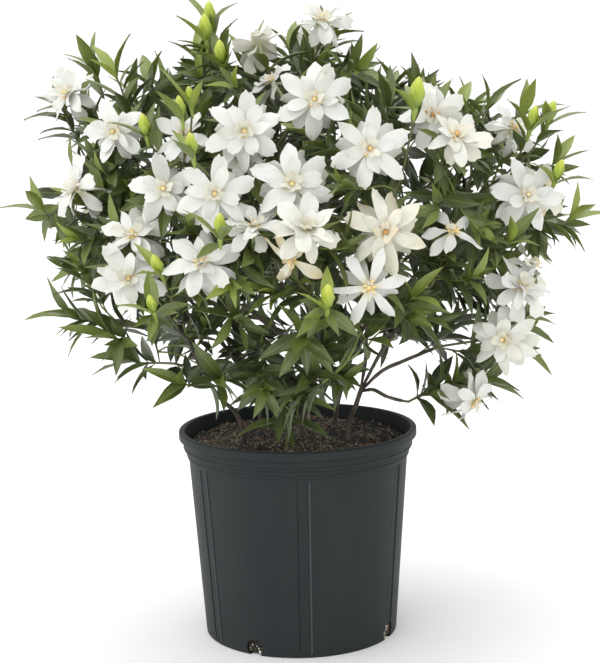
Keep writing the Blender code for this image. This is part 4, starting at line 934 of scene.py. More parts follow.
def inside_crown(point):
    """Whether a place lies in the crown, a rounded body that draws in like a fan towards the pot."""
    off = point - CROWN_CENTRE
    spread = min(1.0, FAN_FOOT + (1 - FAN_FOOT) * (point.z - FAN_LOW) / (FAN_HIGH - FAN_LOW))
    flat = (off.x / CROWN_REACH.x) ** 2 + (off.y / CROWN_REACH.y) ** 2
    if flat < (spread ** 2) * (1 - (off.z / CROWN_REACH.z) ** 2):
        return True
    low = point - LOW_CENTRE
    return sum((low[i] / LOW_REACH[i]) ** 2 for i in range(3)) < 1.0


def in_open_place(point):
    """Whether a place lies where the crown is open from front to back and shows its bare twigs."""
    return any(math.hypot(point.x - x, point.z - z) < reach for x, z, reach in OPEN_PLACES)


def within_frame(bm):
    """Whether a piece stays inside the size that the frame gives the plant."""
    return all(low < v.co[i] < high for v in bm.verts for i, (low, high) in enumerate(FRAME_SPAN))


class Thickness:
    """Counts leaves in cells of the crown, so that new shoots go where it is thinnest."""

    CELL = 0.045

    def __init__(self, sprays):
        self.cells = {}
        for spray in sprays.values():
            for twig in spray["twigs"]:
                for node in twig["nodes"]:
                    for leaf in node["leaves"].values():
                        self.count(leaf[0] @ Vector((0, leaf[1] * 0.5, 0)))

    def key(self, point):
        return tuple(math.floor(x / self.CELL) for x in point)

    def count(self, point):
        cell = self.key(point)
        self.cells[cell] = self.cells.get(cell, 0) + 1

    def at(self, point):
        own = self.key(point)
        near = itertools.product(*[(x - 1, x, x + 1) for x in own])
        return sum(self.cells.get(cell, 0) for cell in near) / 9 + self.cells.get(own, 0)


def anchors_of(sprays, stems):
    """Places on twigs and upper stems that a side shoot may spring from: (point, heading, node, spray)."""
    found = []
    for name, spray in sorted(sprays.items()):
        if name == "low_shoot":
            continue
        for twig in spray["twigs"]:
            total = length_of(twig["points"])
            steps = max(int(total / 0.014), 1)
            for k in range(1, steps):
                found.append((*place_along(twig["points"], total * k / steps), spray["node"], name))
    for name, stem in sorted(stems.items()):
        for points, _ in stem["rods"]:
            total = length_of(points)
            for k in range(3, max(int(total / 0.016), 4)):
                start, heading = place_along(points, min(k * 0.016, total * 0.98))
                if start.z > 0.285:
                    found.append((start, heading, stem["node"], None))
    return found


def filler_twigs(plan, sprays, stems):
    """Side shoots off the twigs and stems, that fill the crown evenly with leaves."""
    rng = random.Random(SEED + 9)
    crowd = Thickness(sprays)
    anchors = anchors_of(sprays, stems)
    inner = {"node": "inner_shoots", "twigs": []}
    sprays["inner"] = inner
    made = 0
    for _ in range(FILLER_TWIGS * 8):
        if made >= FILLER_TWIGS:
            break
        tries = []
        while len(tries) < 5:
            spot = Vector([CROWN_CENTRE[i] + CROWN_REACH[i] * rng.uniform(-1, 1) for i in range(3)])
            if inside_crown(spot) and not in_open_place(spot):
                tries.append((crowd.at(spot), len(tries), spot))
        _, _, spot = min(tries)
        if crowd.at(spot) > MOST_CROWDED:
            continue
        near = sorted(((a[0] - spot).length, k) for k, a in enumerate(anchors))[:14]
        rng.shuffle(near)
        for reach, k in near:
            start, heading, owner, name = anchors[k]
            gap = spot - start
            if not 0.030 < reach < 0.120 or gap.normalized().dot(heading) < 0.0:
                continue
            lead = (gap.normalized() * 0.7 + heading * 0.6).normalized()
            out = (spot - CROWN_HEART).normalized() * 0.4
            aim = (gap.normalized() + Vector((0, 0, 0.4)) + out).normalized()
            points = bezier(start, lead, spot, aim, 3)
            test = rod(points, [0.8 * MM] * 4, 3, 0.3 * MM)
            if not plan.crosses(test, (owner, "leaf")):
                twig = {"points": points, "sizes": [1.2 * MM, 1.1 * MM, 1.0 * MM, 0.9 * MM], "kind": "shoot",
                        "extra": None, "nodes": [], "filler": True}
                home = sprays[name] if name else inner
                plan.add(test, home["node"], f"twig_{len(home['twigs'])}")
                home["twigs"].append(twig)
                steps = max(int(reach / 0.016), 1)
                for step in range(steps):
                    crowd.count(start.lerp(spot, (step + 1) / steps))
                    crowd.count(spot)
                made += 1
                break
            test.free()


def close_nodes(twig, seed):
    """Every whorl of a twig in its full dress: how far back from the end, and the plan's node or None."""
    length = length_of(twig["points"])
    rows = [(node["back"], node) for node in twig["nodes"]]
    rows += [(back, None) for back, _, _ in leaf_nodes(twig, seeded(*seed))
             if all(abs(back - old) > 7 * MM for old, _ in rows)]
    if twig["kind"] == "shoot":
        rows += [(back, None) for back in (7.0 * MM,) if all(abs(back - old) > 6 * MM for old, _ in rows)]
    rows.sort(key=lambda row: row[0])
    between = [((a + b) / 2, None) for (a, _), (b, _) in zip(rows, rows[1:]) if b - a > 15 * MM]
    rows = sorted(rows + between, key=lambda row: row[0])
    return [row for row in rows if row[0] < length * 0.93]


def grow_leaf(plan, node, index, twig, at, angle, face, lean, values):
    """A finer leaf of the full dress, or None where every lean of it would cross something."""
    length, ratio, bend = values
    width = length * ratio
    outline = ((0.0, 0.6 * MM), (length * 0.45, width * 0.5), (length, 0.5 * MM))
    for place in leaf_places(twig, at, angle, face, (lean, lean - 14, lean + 14)):
        test = blade(place, outline, 1, LEAF_THICK, bend, 0.0)
        near = within_frame(test) and not plan.crosses(test, [(node, f"twig_{index}")])
        test.free()
        if near and not in_open_place(place @ Vector((0, length * 0.6, 0))):
            return place, length, width, bend, 1
    return None


def more_leaves(plan, sprays):
    """Further whorls down each twig, and all those of the side shoots."""
    for level in range(max(LEAF_LEVELS.values())):
        for spray in sprays.values():
            for index, twig in enumerate(spray["twigs"]):
                rows = close_nodes(twig, (spray["node"], index))
                if level >= len(rows) or level >= LEAF_LEVELS[twig["kind"]]:
                    continue
                back, placed = rows[level]
                rng = seeded(spray["node"], index, level, "more")
                turn = placed["turn"] if placed else 0.5 + level * math.pi / 3 + rng.uniform(-0.3, 0.3)
                leaves = dict(placed["leaves"]) if placed else {}
                at = length_of(twig["points"]) - back
                lean = (22, 30, 38, 46)[min(level, 3)] + rng.uniform(-6, 8) + 1.4 * twig.get("droop", 0)
                for face in range(TWIG_SIDES):
                    if face in leaves or at < 0.004:
                        continue
                    size = rng.uniform(28, 44) if level < 2 else rng.uniform(36, 54)
                    values = (size * MM, rng.uniform(0.22, 0.29), math.radians(rng.uniform(5, 42)))
                    own_lean = lean + rng.uniform(-8, 10)
                    leaf = grow_leaf(plan, spray["node"], index, twig, at, turn, face, own_lean, values)
                    if leaf:
                        leaves[face] = leaf
                if placed:
                    placed["leaves"] = leaves
                else:
                    twig["nodes"].append({"back": back, "turn": turn, "leaves": leaves})


def soften(bm, sharpest=2 * math.pi):
    """Smooth shading, apart from the edges where the surface turns by more than the sharpest angle."""
    for face in bm.faces:
        face.smooth = True
    for edge in bm.edges:
        edge.smooth = edge.calc_face_angle(0.0) < sharpest


def put(bm, name, shelf=None):
    """Makes an object of a bmesh, which is let go, in a collection or in the scene."""
    mesh = bpy.data.meshes.new(name)
    bm.to_mesh(mesh)
    bm.free()
    obj = bpy.data.objects.new(name, mesh)
    (shelf or bpy.context.scene.collection).objects.link(obj)
    return obj


def clear_away(shelf):
    """Removes a collection with all that it holds."""
    for obj in list(shelf.objects):
        bpy.data.objects.remove(obj)
    bpy.data.collections.remove(shelf)


def plain_mesh(obj):
    """Puts what an object's modifiers make in its mesh, and removes them."""
    graph = bpy.context.evaluated_depsgraph_get()
    mesh = bpy.data.meshes.new_from_object(obj.evaluated_get(graph), preserve_all_data_layers=True,
                                           depsgraph=graph)
    obj.modifiers.clear()
    obj.data = mesh
    return obj


# Shapes that are placed many times: each is one unit long, and is scaled where it stands.


def sheet_shape(name, across, rows, half_width, height, thick, shelf):
    """A thin closed blade one unit long. half_width and height are functions of its own coordinates."""
    bm = bmesh.new()
    layer = bm.loops.layers.uv.new("UVMap")
    bmesh.ops.create_grid(bm, x_segments=across, y_segments=len(rows) - 1, size=0.5)
    grid = {}
    for v in bm.verts:
        grid[v] = (round(2 * v.co.x, 4), rows[round((v.co.y + 0.5) * (len(rows) - 1))])
    for face in bm.faces:
        for loop in face.loops:
            u, v = grid[loop.vert]
            loop[layer].uv = (0.5 + 0.5 * u, v)
    for v, (u, s) in grid.items():
        v.co = (u * half_width(s), s, 0.0)
    for v, (u, s) in grid.items():
        v.co = height(u, s, v.co.x)
    bmesh.ops.remove_doubles(bm, verts=bm.verts, dist=1e-5)
    bm.normal_update()
    for v in bm.verts:
        v.co -= v.normal * thick / 2
    bmesh.ops.solidify(bm, geom=bm.faces[:], thickness=-thick)
    bmesh.ops.recalc_face_normals(bm, faces=bm.faces)
    soften(bm, 0.9)
    put(bm, name, shelf)


def bent(x, s, z, bend):
    """A point of a flat blade carried round to the blade's bend."""
    turn = bend * s
    reach = math.sin(turn) / bend
    fall = (math.cos(turn) - 1.0) / bend
    return Vector((x, reach + z * math.sin(turn), fall + z * math.cos(turn)))


def leaf_shapes(shelf):
    rows = (0.0, 0.07, 0.22, 0.40, 0.60, 0.80, 1.0)
    for k, bend in enumerate(BENDS):
        def half_width(s):
            if s >= 1.0:
                return 0.0
            return max(0.5 * math.sin(math.pi * s ** 0.86) ** 1.15, 0.05)

        def height(u, s, x, bend=bend, k=k):
            fold = 0.11 * abs(u) * half_width(s)
            wave = 0.010 * math.sin(2 * math.pi * (1.6 * s + 0.3 * k)) * u * abs(u)
            return bent(x, s, fold + wave, bend)

        sheet_shape(f"leaf_{k}", 4, rows, half_width, height, 0.0065, shelf)


# Four kinds of petal: how full and how blunt its tip is, its notch, its cup and its twist.
PETAL_KINDS = ((2.0, 0.05, 0.03, 0.26, 0.5), (3.4, 0.30, -0.05, -0.05, -0.6),
               (2.6, 0.12, 0.02, 0.34, 0.3), (3.8, 0.38, -0.03, 0.12, -0.35))
PETAL_ROWS = (0.0, 0.16, 0.34, 0.52, 0.70, 0.85, 0.95, 1.0)
PETAL_FOOT = 0.26


def petal_shapes(shelf):
    for k, bend in enumerate(BENDS + tuple(-b for b in BENDS)):
        tip, blunt, notch, cupped, twisted = PETAL_KINDS[k % 4]

        def half_width(s, tip=tip, blunt=blunt):
            if s < 0.64:
                return 0.5 * (PETAL_FOOT + (1 - PETAL_FOOT) * math.sin(s / 0.64 * math.pi / 2) ** 1.35)
            return 0.5 * max(1 - ((s - 0.64) / 0.36) ** tip, blunt * (s > 0.99)) ** 0.75

        def height(u, s, x, bend=bend, k=k, half_width=half_width, notch=notch, cupped=cupped,
                   twisted=twisted):
            wide = half_width(s)
            cup = cupped * u * u * wide * (1 - 1.8 * s)
            crease = -0.030 * (1 - abs(u)) * math.sin(math.pi * s) ** 2
            wave = 0.034 * math.sin(2 * math.pi * (1.3 * s + 0.23 * k)) * u
            wave += 0.026 * math.sin(9 * s + k) * abs(u)
            crumple = 0.022 * math.sin(5.1 * s + 1.7 * k) * math.cos(3.3 * u + 2.0 * k) * s
            twist = twisted * s * s
            flat = cup + crease + wave + crumple
            reach = s + notch * (1 - abs(u)) * s ** 6
            return bent(x * math.cos(twist) - flat * math.sin(twist), reach,
                        flat * math.cos(twist) + x * math.sin(twist), bend)

        sheet_shape(f"petal_{k}", 4, PETAL_ROWS, half_width, height, 0.012, shelf)


def bud_shape(shelf):
    """A closed bud: five folded petals wound round each other into a spindle."""
    bm = bmesh.new()
    sides, rows = 20, 13
    rings = []
    for r in range(rows):
        s = r / rows
        radius = 0.215 * math.sin(math.pi * min(s * 0.95 + 0.03, 1.0) ** 0.86) ** 0.75
        ring = []
        for k in range(sides):
            a = 2 * math.pi * k / sides
            ridge = 1.0 + 0.13 * math.cos(5 * a) * min(1.0, s * 4)
            turn = a + 2.6 * s
            ring.append(bm.verts.new((radius * ridge * math.cos(turn), s, radius * ridge * math.sin(turn))))
        rings.append(ring)
    rings.append([bm.verts.new((0, 1, 0))])
    join_rings(bm, rings, sides)
    bmesh.ops.recalc_face_normals(bm, faces=bm.faces)
    soften(bm)
    bud = put(bm, "bud_0", shelf)
    tint = bud.data.attributes.new("along", "FLOAT", "POINT")
    tint.data.foreach_set("value", [v.co.y for v in bud.data.vertices])


def spindle_shape(shelf, name, width, sides, rows, waist):
    """A slim closed spindle one unit long, for the pistil and the anthers."""
    bm = bmesh.new()
    rings = [[bm.verts.new((0, 0, 0))]]
    for r in range(1, rows):
        s = r / rows
        radius = width * math.sin(math.pi * s ** waist)
        turns = [2 * math.pi * k / sides for k in range(sides)]
        rings.append([bm.verts.new((radius * math.cos(a), s, radius * math.sin(a))) for a in turns])
    rings.append([bm.verts.new((0, 1, 0))])
    join_rings(bm, rings, sides)
    bmesh.ops.recalc_face_normals(bm, faces=bm.faces)
    soften(bm)
    put(bm, name, shelf)


def heart_shapes(shelf):
    """The pistil and an anther."""
    spindle_shape(shelf, "heart_0", 0.20, 8, 5, 1.5)
    spindle_shape(shelf, "heart_1", 0.10, 6, 4, 1.0)


# Geometry Nodes. The role of a point says which of its piece's shapes stands on it, or that it is on a stalk.
FIRST, SECOND, STALK, THIRD = 0, 1, 2, 3


class Wiring:
    """Adds nodes to a tree and joins them. What holds the tree is in self.tree."""

    def feed(self, socket, value):
        """Links a socket to an input, or sets the input to a plain value."""
        if isinstance(value, bpy.types.NodeSocket):
            self.tree.links.new(value, socket)
        else:
            socket.default_value = value

    def node(self, kind, settings=None, **links):
        """A node with its settings, and its inputs by name, with _ for each space."""
        made = self.tree.nodes.new(kind)
        for key, value in (settings or {}).items():
            setattr(made, key, value)
        for key, value in links.items():
            self.feed(next(s for s in made.inputs if s.enabled and s.name.replace(" ", "_") == key), value)
        return made

    def out(self, made, label=None):
        return next(s for s in made.outputs if s.enabled and (label is None or s.name == label))


class Tree(Wiring):
    """One Geometry Nodes tree with named inputs."""

    def __init__(self, name, inputs):
        self.tree = bpy.data.node_groups.new(name, "GeometryNodeTree")
        face = self.tree.interface
        face.new_socket(name="Geometry", in_out="OUTPUT", socket_type="NodeSocketGeometry")
        self.sockets = {}
        for label, kind in (("Geometry", "Geometry"), *inputs):
            self.sockets[label] = face.new_socket(name=label, in_out="INPUT", socket_type="NodeSocket" + kind)
        self.source = self.tree.nodes.new("NodeGroupInput")
        self.target = self.tree.nodes.new("NodeGroupOutput")

    def input(self, label):
        return self.source.outputs[label]

    def attribute(self, name, kind):
        made = self.node("GeometryNodeInputNamedAttribute", {"data_type": kind}, Name=name)
        return self.out(made, "Attribute")

    def part_of(self, geometry, role):
        same = self.node("FunctionNodeCompare", {"data_type": "INT", "operation": "EQUAL"},
                         A=self.attribute("role", "INT"), B=role)
        cut = self.node("GeometryNodeSeparateGeometry", {"domain": "POINT"}, Geometry=geometry,
                        Selection=self.out(same))
        return self.out(cut, "Selection")

    def stand(self, points, shapes, material):
        """Stands a shape on each point by the point's turn, size and shape, as plain mesh of one material."""
        info = self.node("GeometryNodeCollectionInfo", None, Collection=shapes, Separate_Children=True,
                         Reset_Children=True)
        turn = self.node("FunctionNodeEulerToRotation", None, Euler=self.attribute("turn", "FLOAT_VECTOR"))
        stood = self.node("GeometryNodeInstanceOnPoints", None, Points=points, Instance=self.out(info),
                          Pick_Instance=True, Instance_Index=self.attribute("shape", "INT"),
                          Rotation=self.out(turn), Scale=self.attribute("size", "FLOAT_VECTOR"))
        real = self.node("GeometryNodeRealizeInstances", None, Geometry=self.out(stood))
        painted = self.node("GeometryNodeSetMaterial", None, Geometry=self.out(real), Material=material)
        return self.out(painted)

    def stalks(self, edges, sides, step, material, rough=0.0):
        """Round stalks along the edges, as thick as each point's radius says."""
        curve = self.node("GeometryNodeMeshToCurve", None, Mesh=edges)
        smooth = self.node("GeometryNodeCurveSplineType", {"spline_type": "CATMULL_ROM"},
                           Curve=self.out(curve))
        thick = self.node("GeometryNodeSetCurveRadius", None, Curve=self.out(smooth),
                          Radius=self.attribute("radius", "FLOAT"))
        fine = self.node("GeometryNodeResampleCurve", {"mode": "LENGTH"}, Curve=self.out(thick), Length=step)
        ring = self.node("GeometryNodeCurvePrimitiveCircle", None, Resolution=sides, Radius=1.0)
        body = self.node("GeometryNodeCurveToMesh", None, Curve=self.out(fine), Profile_Curve=self.out(ring),
                         Scale=self.attribute("radius", "FLOAT"), Fill_Caps=True)
        shaped = self.out(body)
        if rough:
            noise = self.node("ShaderNodeTexNoise", {"noise_dimensions": "3D"}, Scale=180.0, Detail=3.0)
            scale = self.node("ShaderNodeMath", {"operation": "MULTIPLY_ADD"})
            for socket, value in zip(scale.inputs, (self.out(noise), rough, -0.5 * rough)):
                self.feed(socket, value)
            normal = self.node("GeometryNodeInputNormal")
            shift = self.node("ShaderNodeVectorMath", {"operation": "SCALE"}, Vector=self.out(normal),
                              Scale=self.out(scale))
            moved = self.node("GeometryNodeSetPosition", None, Geometry=shaped, Offset=self.out(shift))
            shaped = self.out(moved)
        painted = self.node("GeometryNodeSetMaterial", None, Geometry=shaped, Material=material)
        return self.out(painted)

    def join(self, *parts):
        made = self.tree.nodes.new("GeometryNodeJoinGeometry")
        for part in reversed(parts):
            self.tree.links.new(part, made.inputs[0])
        return self.out(made)

    def finish(self, geometry):
        self.tree.links.new(geometry, self.target.inputs[0])
        return self

    def run(self, obj, shapes, finishes, **numbers):
        """Runs the tree on an object and puts the plain mesh that it makes in the object."""
        modifier = obj.modifiers.new("make", "NODES")
        modifier.node_group = self.tree
        values = {f"{kind} shapes": shelf for kind, shelf in shapes.items()}
        values.update({f"{kind} finish": finish for kind, finish in finishes.items()}, **numbers)
        for label in self.sockets.keys() & values.keys():
            modifier[self.sockets[label].identifier] = values[label]
        return plain_mesh(obj)


def plant_tree(name, stood, stalk=None, rough=0.0):
    """A tree that stands shapes on points by their role, and sweeps a stalk along the edges between others.

    stood holds each role with the kind of shape and finish that it has.
    """
    inputs = [(f"{kind} shapes", "Collection") for _, kind in stood]
    inputs += [(f"{kind} finish", "Material") for _, kind in stood]
    if stalk:
        inputs += [(f"{stalk} finish", "Material"), ("sides", "Int"), ("step", "Float")]
    tree = Tree(name, inputs)
    source = tree.input("Geometry")
    parts = []
    for role, kind in stood:
        points = tree.part_of(source, role)
        parts.append(tree.stand(points, tree.input(f"{kind} shapes"), tree.input(f"{kind} finish")))
    if stalk:
        parts.append(tree.stalks(tree.part_of(source, STALK), tree.input("sides"), tree.input("step"),
                                 tree.input(f"{stalk} finish"), rough))
    return tree.finish(tree.join(*parts))


class Carrier:
    """Points and edges with what stands on them, for a tree to read."""

    def __init__(self):
        self.points, self.edges, self.rows = [], [], []

    def stand(self, role, place, size, shape, tone):
        turn = place.to_3x3().normalized().to_euler("XYZ")
        self.points.append(place.translation.copy())
        self.rows.append((role, shape, tuple(turn), tuple(size), tone, 0.0))

    def path(self, points, radii, tones):
        first = len(self.points)
        for point, radius, tone in zip(points, radii, tones):
            self.points.append(point)
            self.rows.append((STALK, 0, (0, 0, 0), (1, 1, 1), tone, radius))
        self.edges += [(k, k + 1) for k in range(first, len(self.points) - 1)]

    def mesh_object(self, name):
        mesh = bpy.data.meshes.new(name)
        mesh.from_pydata([tuple(p) for p in self.points], self.edges, [])
        columns = (("role", "INT"), ("shape", "INT"), ("turn", "FLOAT_VECTOR"), ("size", "FLOAT_VECTOR"),
                   ("tone", "FLOAT"), ("radius", "FLOAT"))
        for column, (label, kind) in enumerate(columns):
            made = mesh.attributes.new(label, kind, "POINT")
            values = [row[column] for row in self.rows]
            if kind == "FLOAT_VECTOR":
                made.data.foreach_set("vector", [x for value in values for x in value])
            else:
                made.data.foreach_set("value", values)
        obj = bpy.data.objects.new(name, mesh)
        bpy.context.scene.collection.objects.link(obj)
        return obj


def nearest_bend(bend, rng=None):
    """Which of the kept shapes bends most nearly as much, those that bend the other way coming last."""
    give = rng.uniform(-0.14, 0.14) if rng else 0.0
    best = min(range(len(BENDS)), key=lambda k: abs(BENDS[k] - abs(bend) - give))
    return best + (len(BENDS) if bend < 0 else 0)


# Materials.


class Finish(Wiring):
    """A Principled material with the nodes that its pattern needs."""

    def __init__(self, name, rough, **constants):
        self.material = bpy.data.materials.new(name)
        self.material.use_nodes = True
        self.tree = self.material.node_tree
        self.shader = self.tree.nodes["Principled BSDF"]
        self.shader.inputs["Roughness"].default_value = rough
        for label, value in constants.items():
            self.shader.inputs[label.replace("_", " ")].default_value = value

    def place(self, scale=(1, 1, 1)):
        where = self.node("ShaderNodeTexCoord")
        mapped = self.node("ShaderNodeMapping", None, Vector=where.outputs["Object"], Scale=scale)
        return mapped.outputs["Vector"]

    def noise(self, scale, detail=4.0, vector=None, rough=0.5):
        made = self.node("ShaderNodeTexNoise", None, Vector=vector or self.place(), Scale=scale,
                         Detail=detail, Roughness=rough)
        return made.outputs[0]

    def attribute(self, name):
        return self.node("ShaderNodeAttribute", {"attribute_name": name}).outputs["Fac"]

    def uv(self):
        made = self.node("ShaderNodeUVMap", {"uv_map": "UVMap"})
        split = self.node("ShaderNodeSeparateXYZ", None, Vector=made.outputs[0])
        return split.outputs["X"], split.outputs["Y"]

    def maths(self, operation, a, b=0.5, c=0.5):
        made = self.node("ShaderNodeMath", {"operation": operation})
        for socket, value in zip(made.inputs, (a, b, c)):
            self.feed(socket, value)
        return made.outputs[0]

    def times(self, a, b):
        return self.maths("MULTIPLY", a, b)

    def times_plus(self, a, b, c):
        return self.maths("MULTIPLY_ADD", a, b, c)

    def rest_of(self, value, share):
        """A share of what a value leaves of 1."""
        return self.times(self.maths("SUBTRACT", 1.0, value), share)

    def ramp(self, value, stops):
        made = self.node("ShaderNodeValToRGB", None, Fac=value)
        ramp = made.color_ramp
        while len(ramp.elements) < len(stops):
            ramp.elements.new(0.5)
        for element, (at, colour) in zip(ramp.elements, stops):
            element.position = at
            element.color = (*colour, 1.0)
        return made.outputs[0]

    def mix(self, share, a, b, blend="MIX"):
        made = self.node("ShaderNodeMix", {"data_type": "RGBA", "blend_type": blend})
        for socket, value in zip([s for s in made.inputs if s.enabled], (share, a, b)):
            self.feed(socket, (*value, 1.0) if isinstance(value, tuple) else value)
        return self.out(made)

    def colour(self, value):
        self.tree.links.new(value, self.shader.inputs["Base Color"])

    def roughness(self, value, low, high):
        made = self.node("ShaderNodeMapRange", None, Value=value, To_Min=low, To_Max=high)
        self.tree.links.new(made.outputs[0], self.shader.inputs["Roughness"])

    def bump(self, value, strength, distance):
        made = self.node("ShaderNodeBump", None, Height=value, Strength=strength, Distance=distance)
        self.tree.links.new(made.outputs[0], self.shader.inputs["Normal"])


def leaf_finish():
    leaf = Finish("leaf_finish", 0.32, Specular_IOR_Level=0.5, Coat_Weight=0.15, Coat_Roughness=0.25)
    u, v = leaf.uv()
    # The tone carries each leaf's age and its painted shade.
    tone = leaf.attribute("tone")
    patch = leaf.noise(35.0, 3.0)
    shade = leaf.times_plus(patch, 0.35, leaf.maths("SUBTRACT", tone, 0.17))
    green = leaf.ramp(shade, ((0.0, (0.022, 0.034, 0.012)), (0.30, (0.080, 0.112, 0.028)),
                              (0.60, (0.192, 0.244, 0.044)), (1.0, (0.360, 0.440, 0.070))))
    across = leaf.maths("ABSOLUTE", leaf.maths("SUBTRACT", u, 0.5))
    rib = leaf.maths("SMOOTH_MIN", leaf.times(across, 14.0), 1.0, 0.3)
    green = leaf.mix(leaf.rest_of(rib, 0.45), green, (0.26, 0.33, 0.10))
    slant = leaf.times_plus(across, -0.9, v)
    veins = leaf.maths("PINGPONG", leaf.times(slant, 13.0), 0.5)
    veins = leaf.maths("SMOOTH_MIN", leaf.times(veins, 5.0), 1.0, 0.3)
    green = leaf.mix(leaf.rest_of(veins, 0.12), green, (0.17, 0.24, 0.06))
    leaf.colour(green)
    leaf.roughness(leaf.noise(90.0, 2.0), 0.26, 0.46)
    leaf.bump(leaf.times_plus(rib, 1.6, leaf.times(veins, 0.5)), 0.35, 0.0005)
    return leaf.material


def petal_finish():
    petal = Finish("petal_finish", 0.5, Subsurface_Weight=0.22, Subsurface_Scale=0.004,
                   Specular_IOR_Level=0.35, Sheen_Weight=0.08)
    petal.shader.inputs["Subsurface Radius"].default_value = (1.0, 0.8, 0.6)
    u, v = petal.uv()
    tone = petal.attribute("tone")
    aged = petal.times(tone, petal.times_plus(petal.maths("POWER", v, 2.0), 0.9, 0.45))
    age = petal.ramp(aged, ((0.0, (0.755, 0.76, 0.71)), (0.3, (0.76, 0.73, 0.59)), (0.6, (0.75, 0.65, 0.41)),
                            (1.0, (0.58, 0.39, 0.19))))
    base = petal.ramp(v, ((0.0, (0.96, 0.80, 0.40)), (0.14, (0.99, 0.93, 0.72)), (0.33, (1.0, 1.0, 1.0)),
                          (1.0, (1.0, 1.0, 1.0))))
    colour = petal.mix(1.0, age, base, "MULTIPLY")
    lines = petal.maths("SINE", petal.times(u, 60.0))
    soft = petal.noise(60.0, 3.0)
    petal.colour(colour)
    petal.roughness(soft, 0.42, 0.6)
    petal.bump(petal.times_plus(lines, 0.3, petal.times(soft, 1.2)), 0.25, 0.0006)
    return petal.material


def heart_finish():
    heart = Finish("heart_finish", 0.6)
    grain = heart.noise(400.0, 3.0)
    tone = heart.maths("SUBTRACT", grain, heart.times(heart.attribute("tone"), 0.6))
    heart.colour(heart.ramp(tone, ((0.05, (0.42, 0.15, 0.05)), (0.3, (0.80, 0.47, 0.14)),
                                   (0.46, (0.89, 0.69, 0.29)), (0.66, (0.92, 0.84, 0.56)))))
    heart.bump(grain, 0.5, 0.0004)
    return heart.material


def tube_finish():
    tube = Finish("tube_finish", 0.5, Subsurface_Weight=0.1, Subsurface_Scale=0.003)
    tone = tube.attribute("tone")
    soft = tube.noise(120.0, 3.0)
    colour = tube.ramp(tone, ((0.0, (0.20, 0.34, 0.08)), (0.4, (0.52, 0.62, 0.30)),
                              (1.0, (0.86, 0.88, 0.72))))
    tube.colour(tube.mix(tube.times(soft, 0.2), colour, (0.50, 0.60, 0.30)))
    tube.bump(soft, 0.2, 0.0004)
    return tube.material


def bud_finish():
    bud = Finish("bud_finish", 0.38, Subsurface_Weight=0.08, Subsurface_Scale=0.003)
    along = bud.attribute("along")
    soft = bud.noise(150.0, 3.0)
    shade = bud.times_plus(soft, 0.3, bud.maths("SUBTRACT", along, 0.15))
    bud.colour(bud.ramp(shade, ((0.0, (0.09, 0.15, 0.02)), (0.3, (0.27, 0.37, 0.04)),
                                (0.75, (0.45, 0.53, 0.06)), (1.0, (0.57, 0.61, 0.11)))))
    bud.bump(soft, 0.2, 0.0005)
    return bud.material


def twig_finish():
    twig = Finish("twig_finish", 0.6)
    tone = twig.attribute("tone")
    soft = twig.noise(120.0, 4.0)
    shade = twig.times_plus(soft, 0.3, twig.maths("SUBTRACT", tone, 0.15))
    twig.colour(twig.ramp(shade, ((0.0, (0.12, 0.085, 0.050)), (0.5, (0.13, 0.14, 0.055)),
                                  (1.0, (0.25, 0.33, 0.06)))))
    twig.bump(soft, 0.4, 0.0004)
    return twig.material


def bark_finish():
    bark = Finish("bark_finish", 0.85)
    stretched = bark.noise(70.0, 6.0, bark.place((1.0, 1.0, 0.25)), 0.6)
    fine = bark.noise(500.0, 3.0, bark.place((1.0, 1.0, 0.4)))
    shade = bark.times_plus(fine, 0.3, bark.times(stretched, 0.8))
    bark.colour(bark.ramp(shade, ((0.25, (0.020, 0.016, 0.013)), (0.5, (0.062, 0.048, 0.036)),
                                  (0.75, (0.180, 0.150, 0.120)))))
    bark.bump(shade, 0.7, 0.0010)
    return bark.material


def pot_finish(name, low, high):
    pot = Finish(name, 0.45, Specular_IOR_Level=0.20)
    cloud = pot.noise(9.0, 5.0, pot.place((1.0, 1.0, 0.35)))
    dust = pot.noise(160.0, 6.0, None, 0.7)
    colour = pot.ramp(cloud, ((0.3, low), (0.7, high)))
    specks = pot.maths("GREATER_THAN", dust, 0.69)
    colour = pot.mix(pot.times(specks, 0.10), colour, (0.20, 0.21, 0.20))
    pot.colour(colour)
    pot.roughness(pot.noise(40.0, 5.0), 0.50, 0.64)
    pot.bump(pot.noise(700.0, 3.0), 0.12, 0.0003)
    return pot.material


def soil_finish(name, low, middle, high, scale, strength):
    soil = Finish(name, 0.92)
    coarse = soil.noise(scale, 8.0, None, 0.65)
    fine = soil.noise(scale * 6, 4.0)
    shade = soil.times_plus(fine, 0.35, soil.times(coarse, 0.50))
    shade = soil.times_plus(soil.attribute("tone"), 0.32, shade)
    dry = soil.times_plus(soil.noise(15.0, 3.0), 0.90, -0.45)
    soil.colour(soil.ramp(soil.maths("ADD", shade, dry), ((0.38, low), (0.53, middle), (0.80, high))))
    soil.bump(shade, strength, 0.002)
    return soil.material


# The pieces.


def dress(obj, node):
    """Puts a finished piece in the place of a solid of the frame."""
    obj.name = obj.data.name = node + "_look"
    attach(obj, "root")
    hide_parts(node)
    return obj


def leaf_tone(rng, twig, level, place):
    """How young a leaf is, and painted shade: bright at the ends of shoots, painted darker inside the crown
    and low down.
    """
    outward = (place.translation - CROWN_CENTRE)
    depth = math.sqrt(sum((outward[i] / CROWN_REACH[i]) ** 2 for i in range(3)))
    # Painted shade: darker towards the middle of the crown; leaves further down a twig are older and darker.
    tone = 0.18 + 0.30 * min(depth, 1.1) - 0.06 * level + rng.uniform(-0.10, 0.12)
    # Painted shade: darker low down, under the crown.
    tone -= 0.16 * min(1.0, max(0.0, (0.42 - place.translation.z) / 0.10))
    if twig["kind"] != "bloom" and level == 0 and place.translation.z > 0.40 and rng.random() < 0.4:
        tone += 0.22
    return max(0.02, min(tone, 1.0))


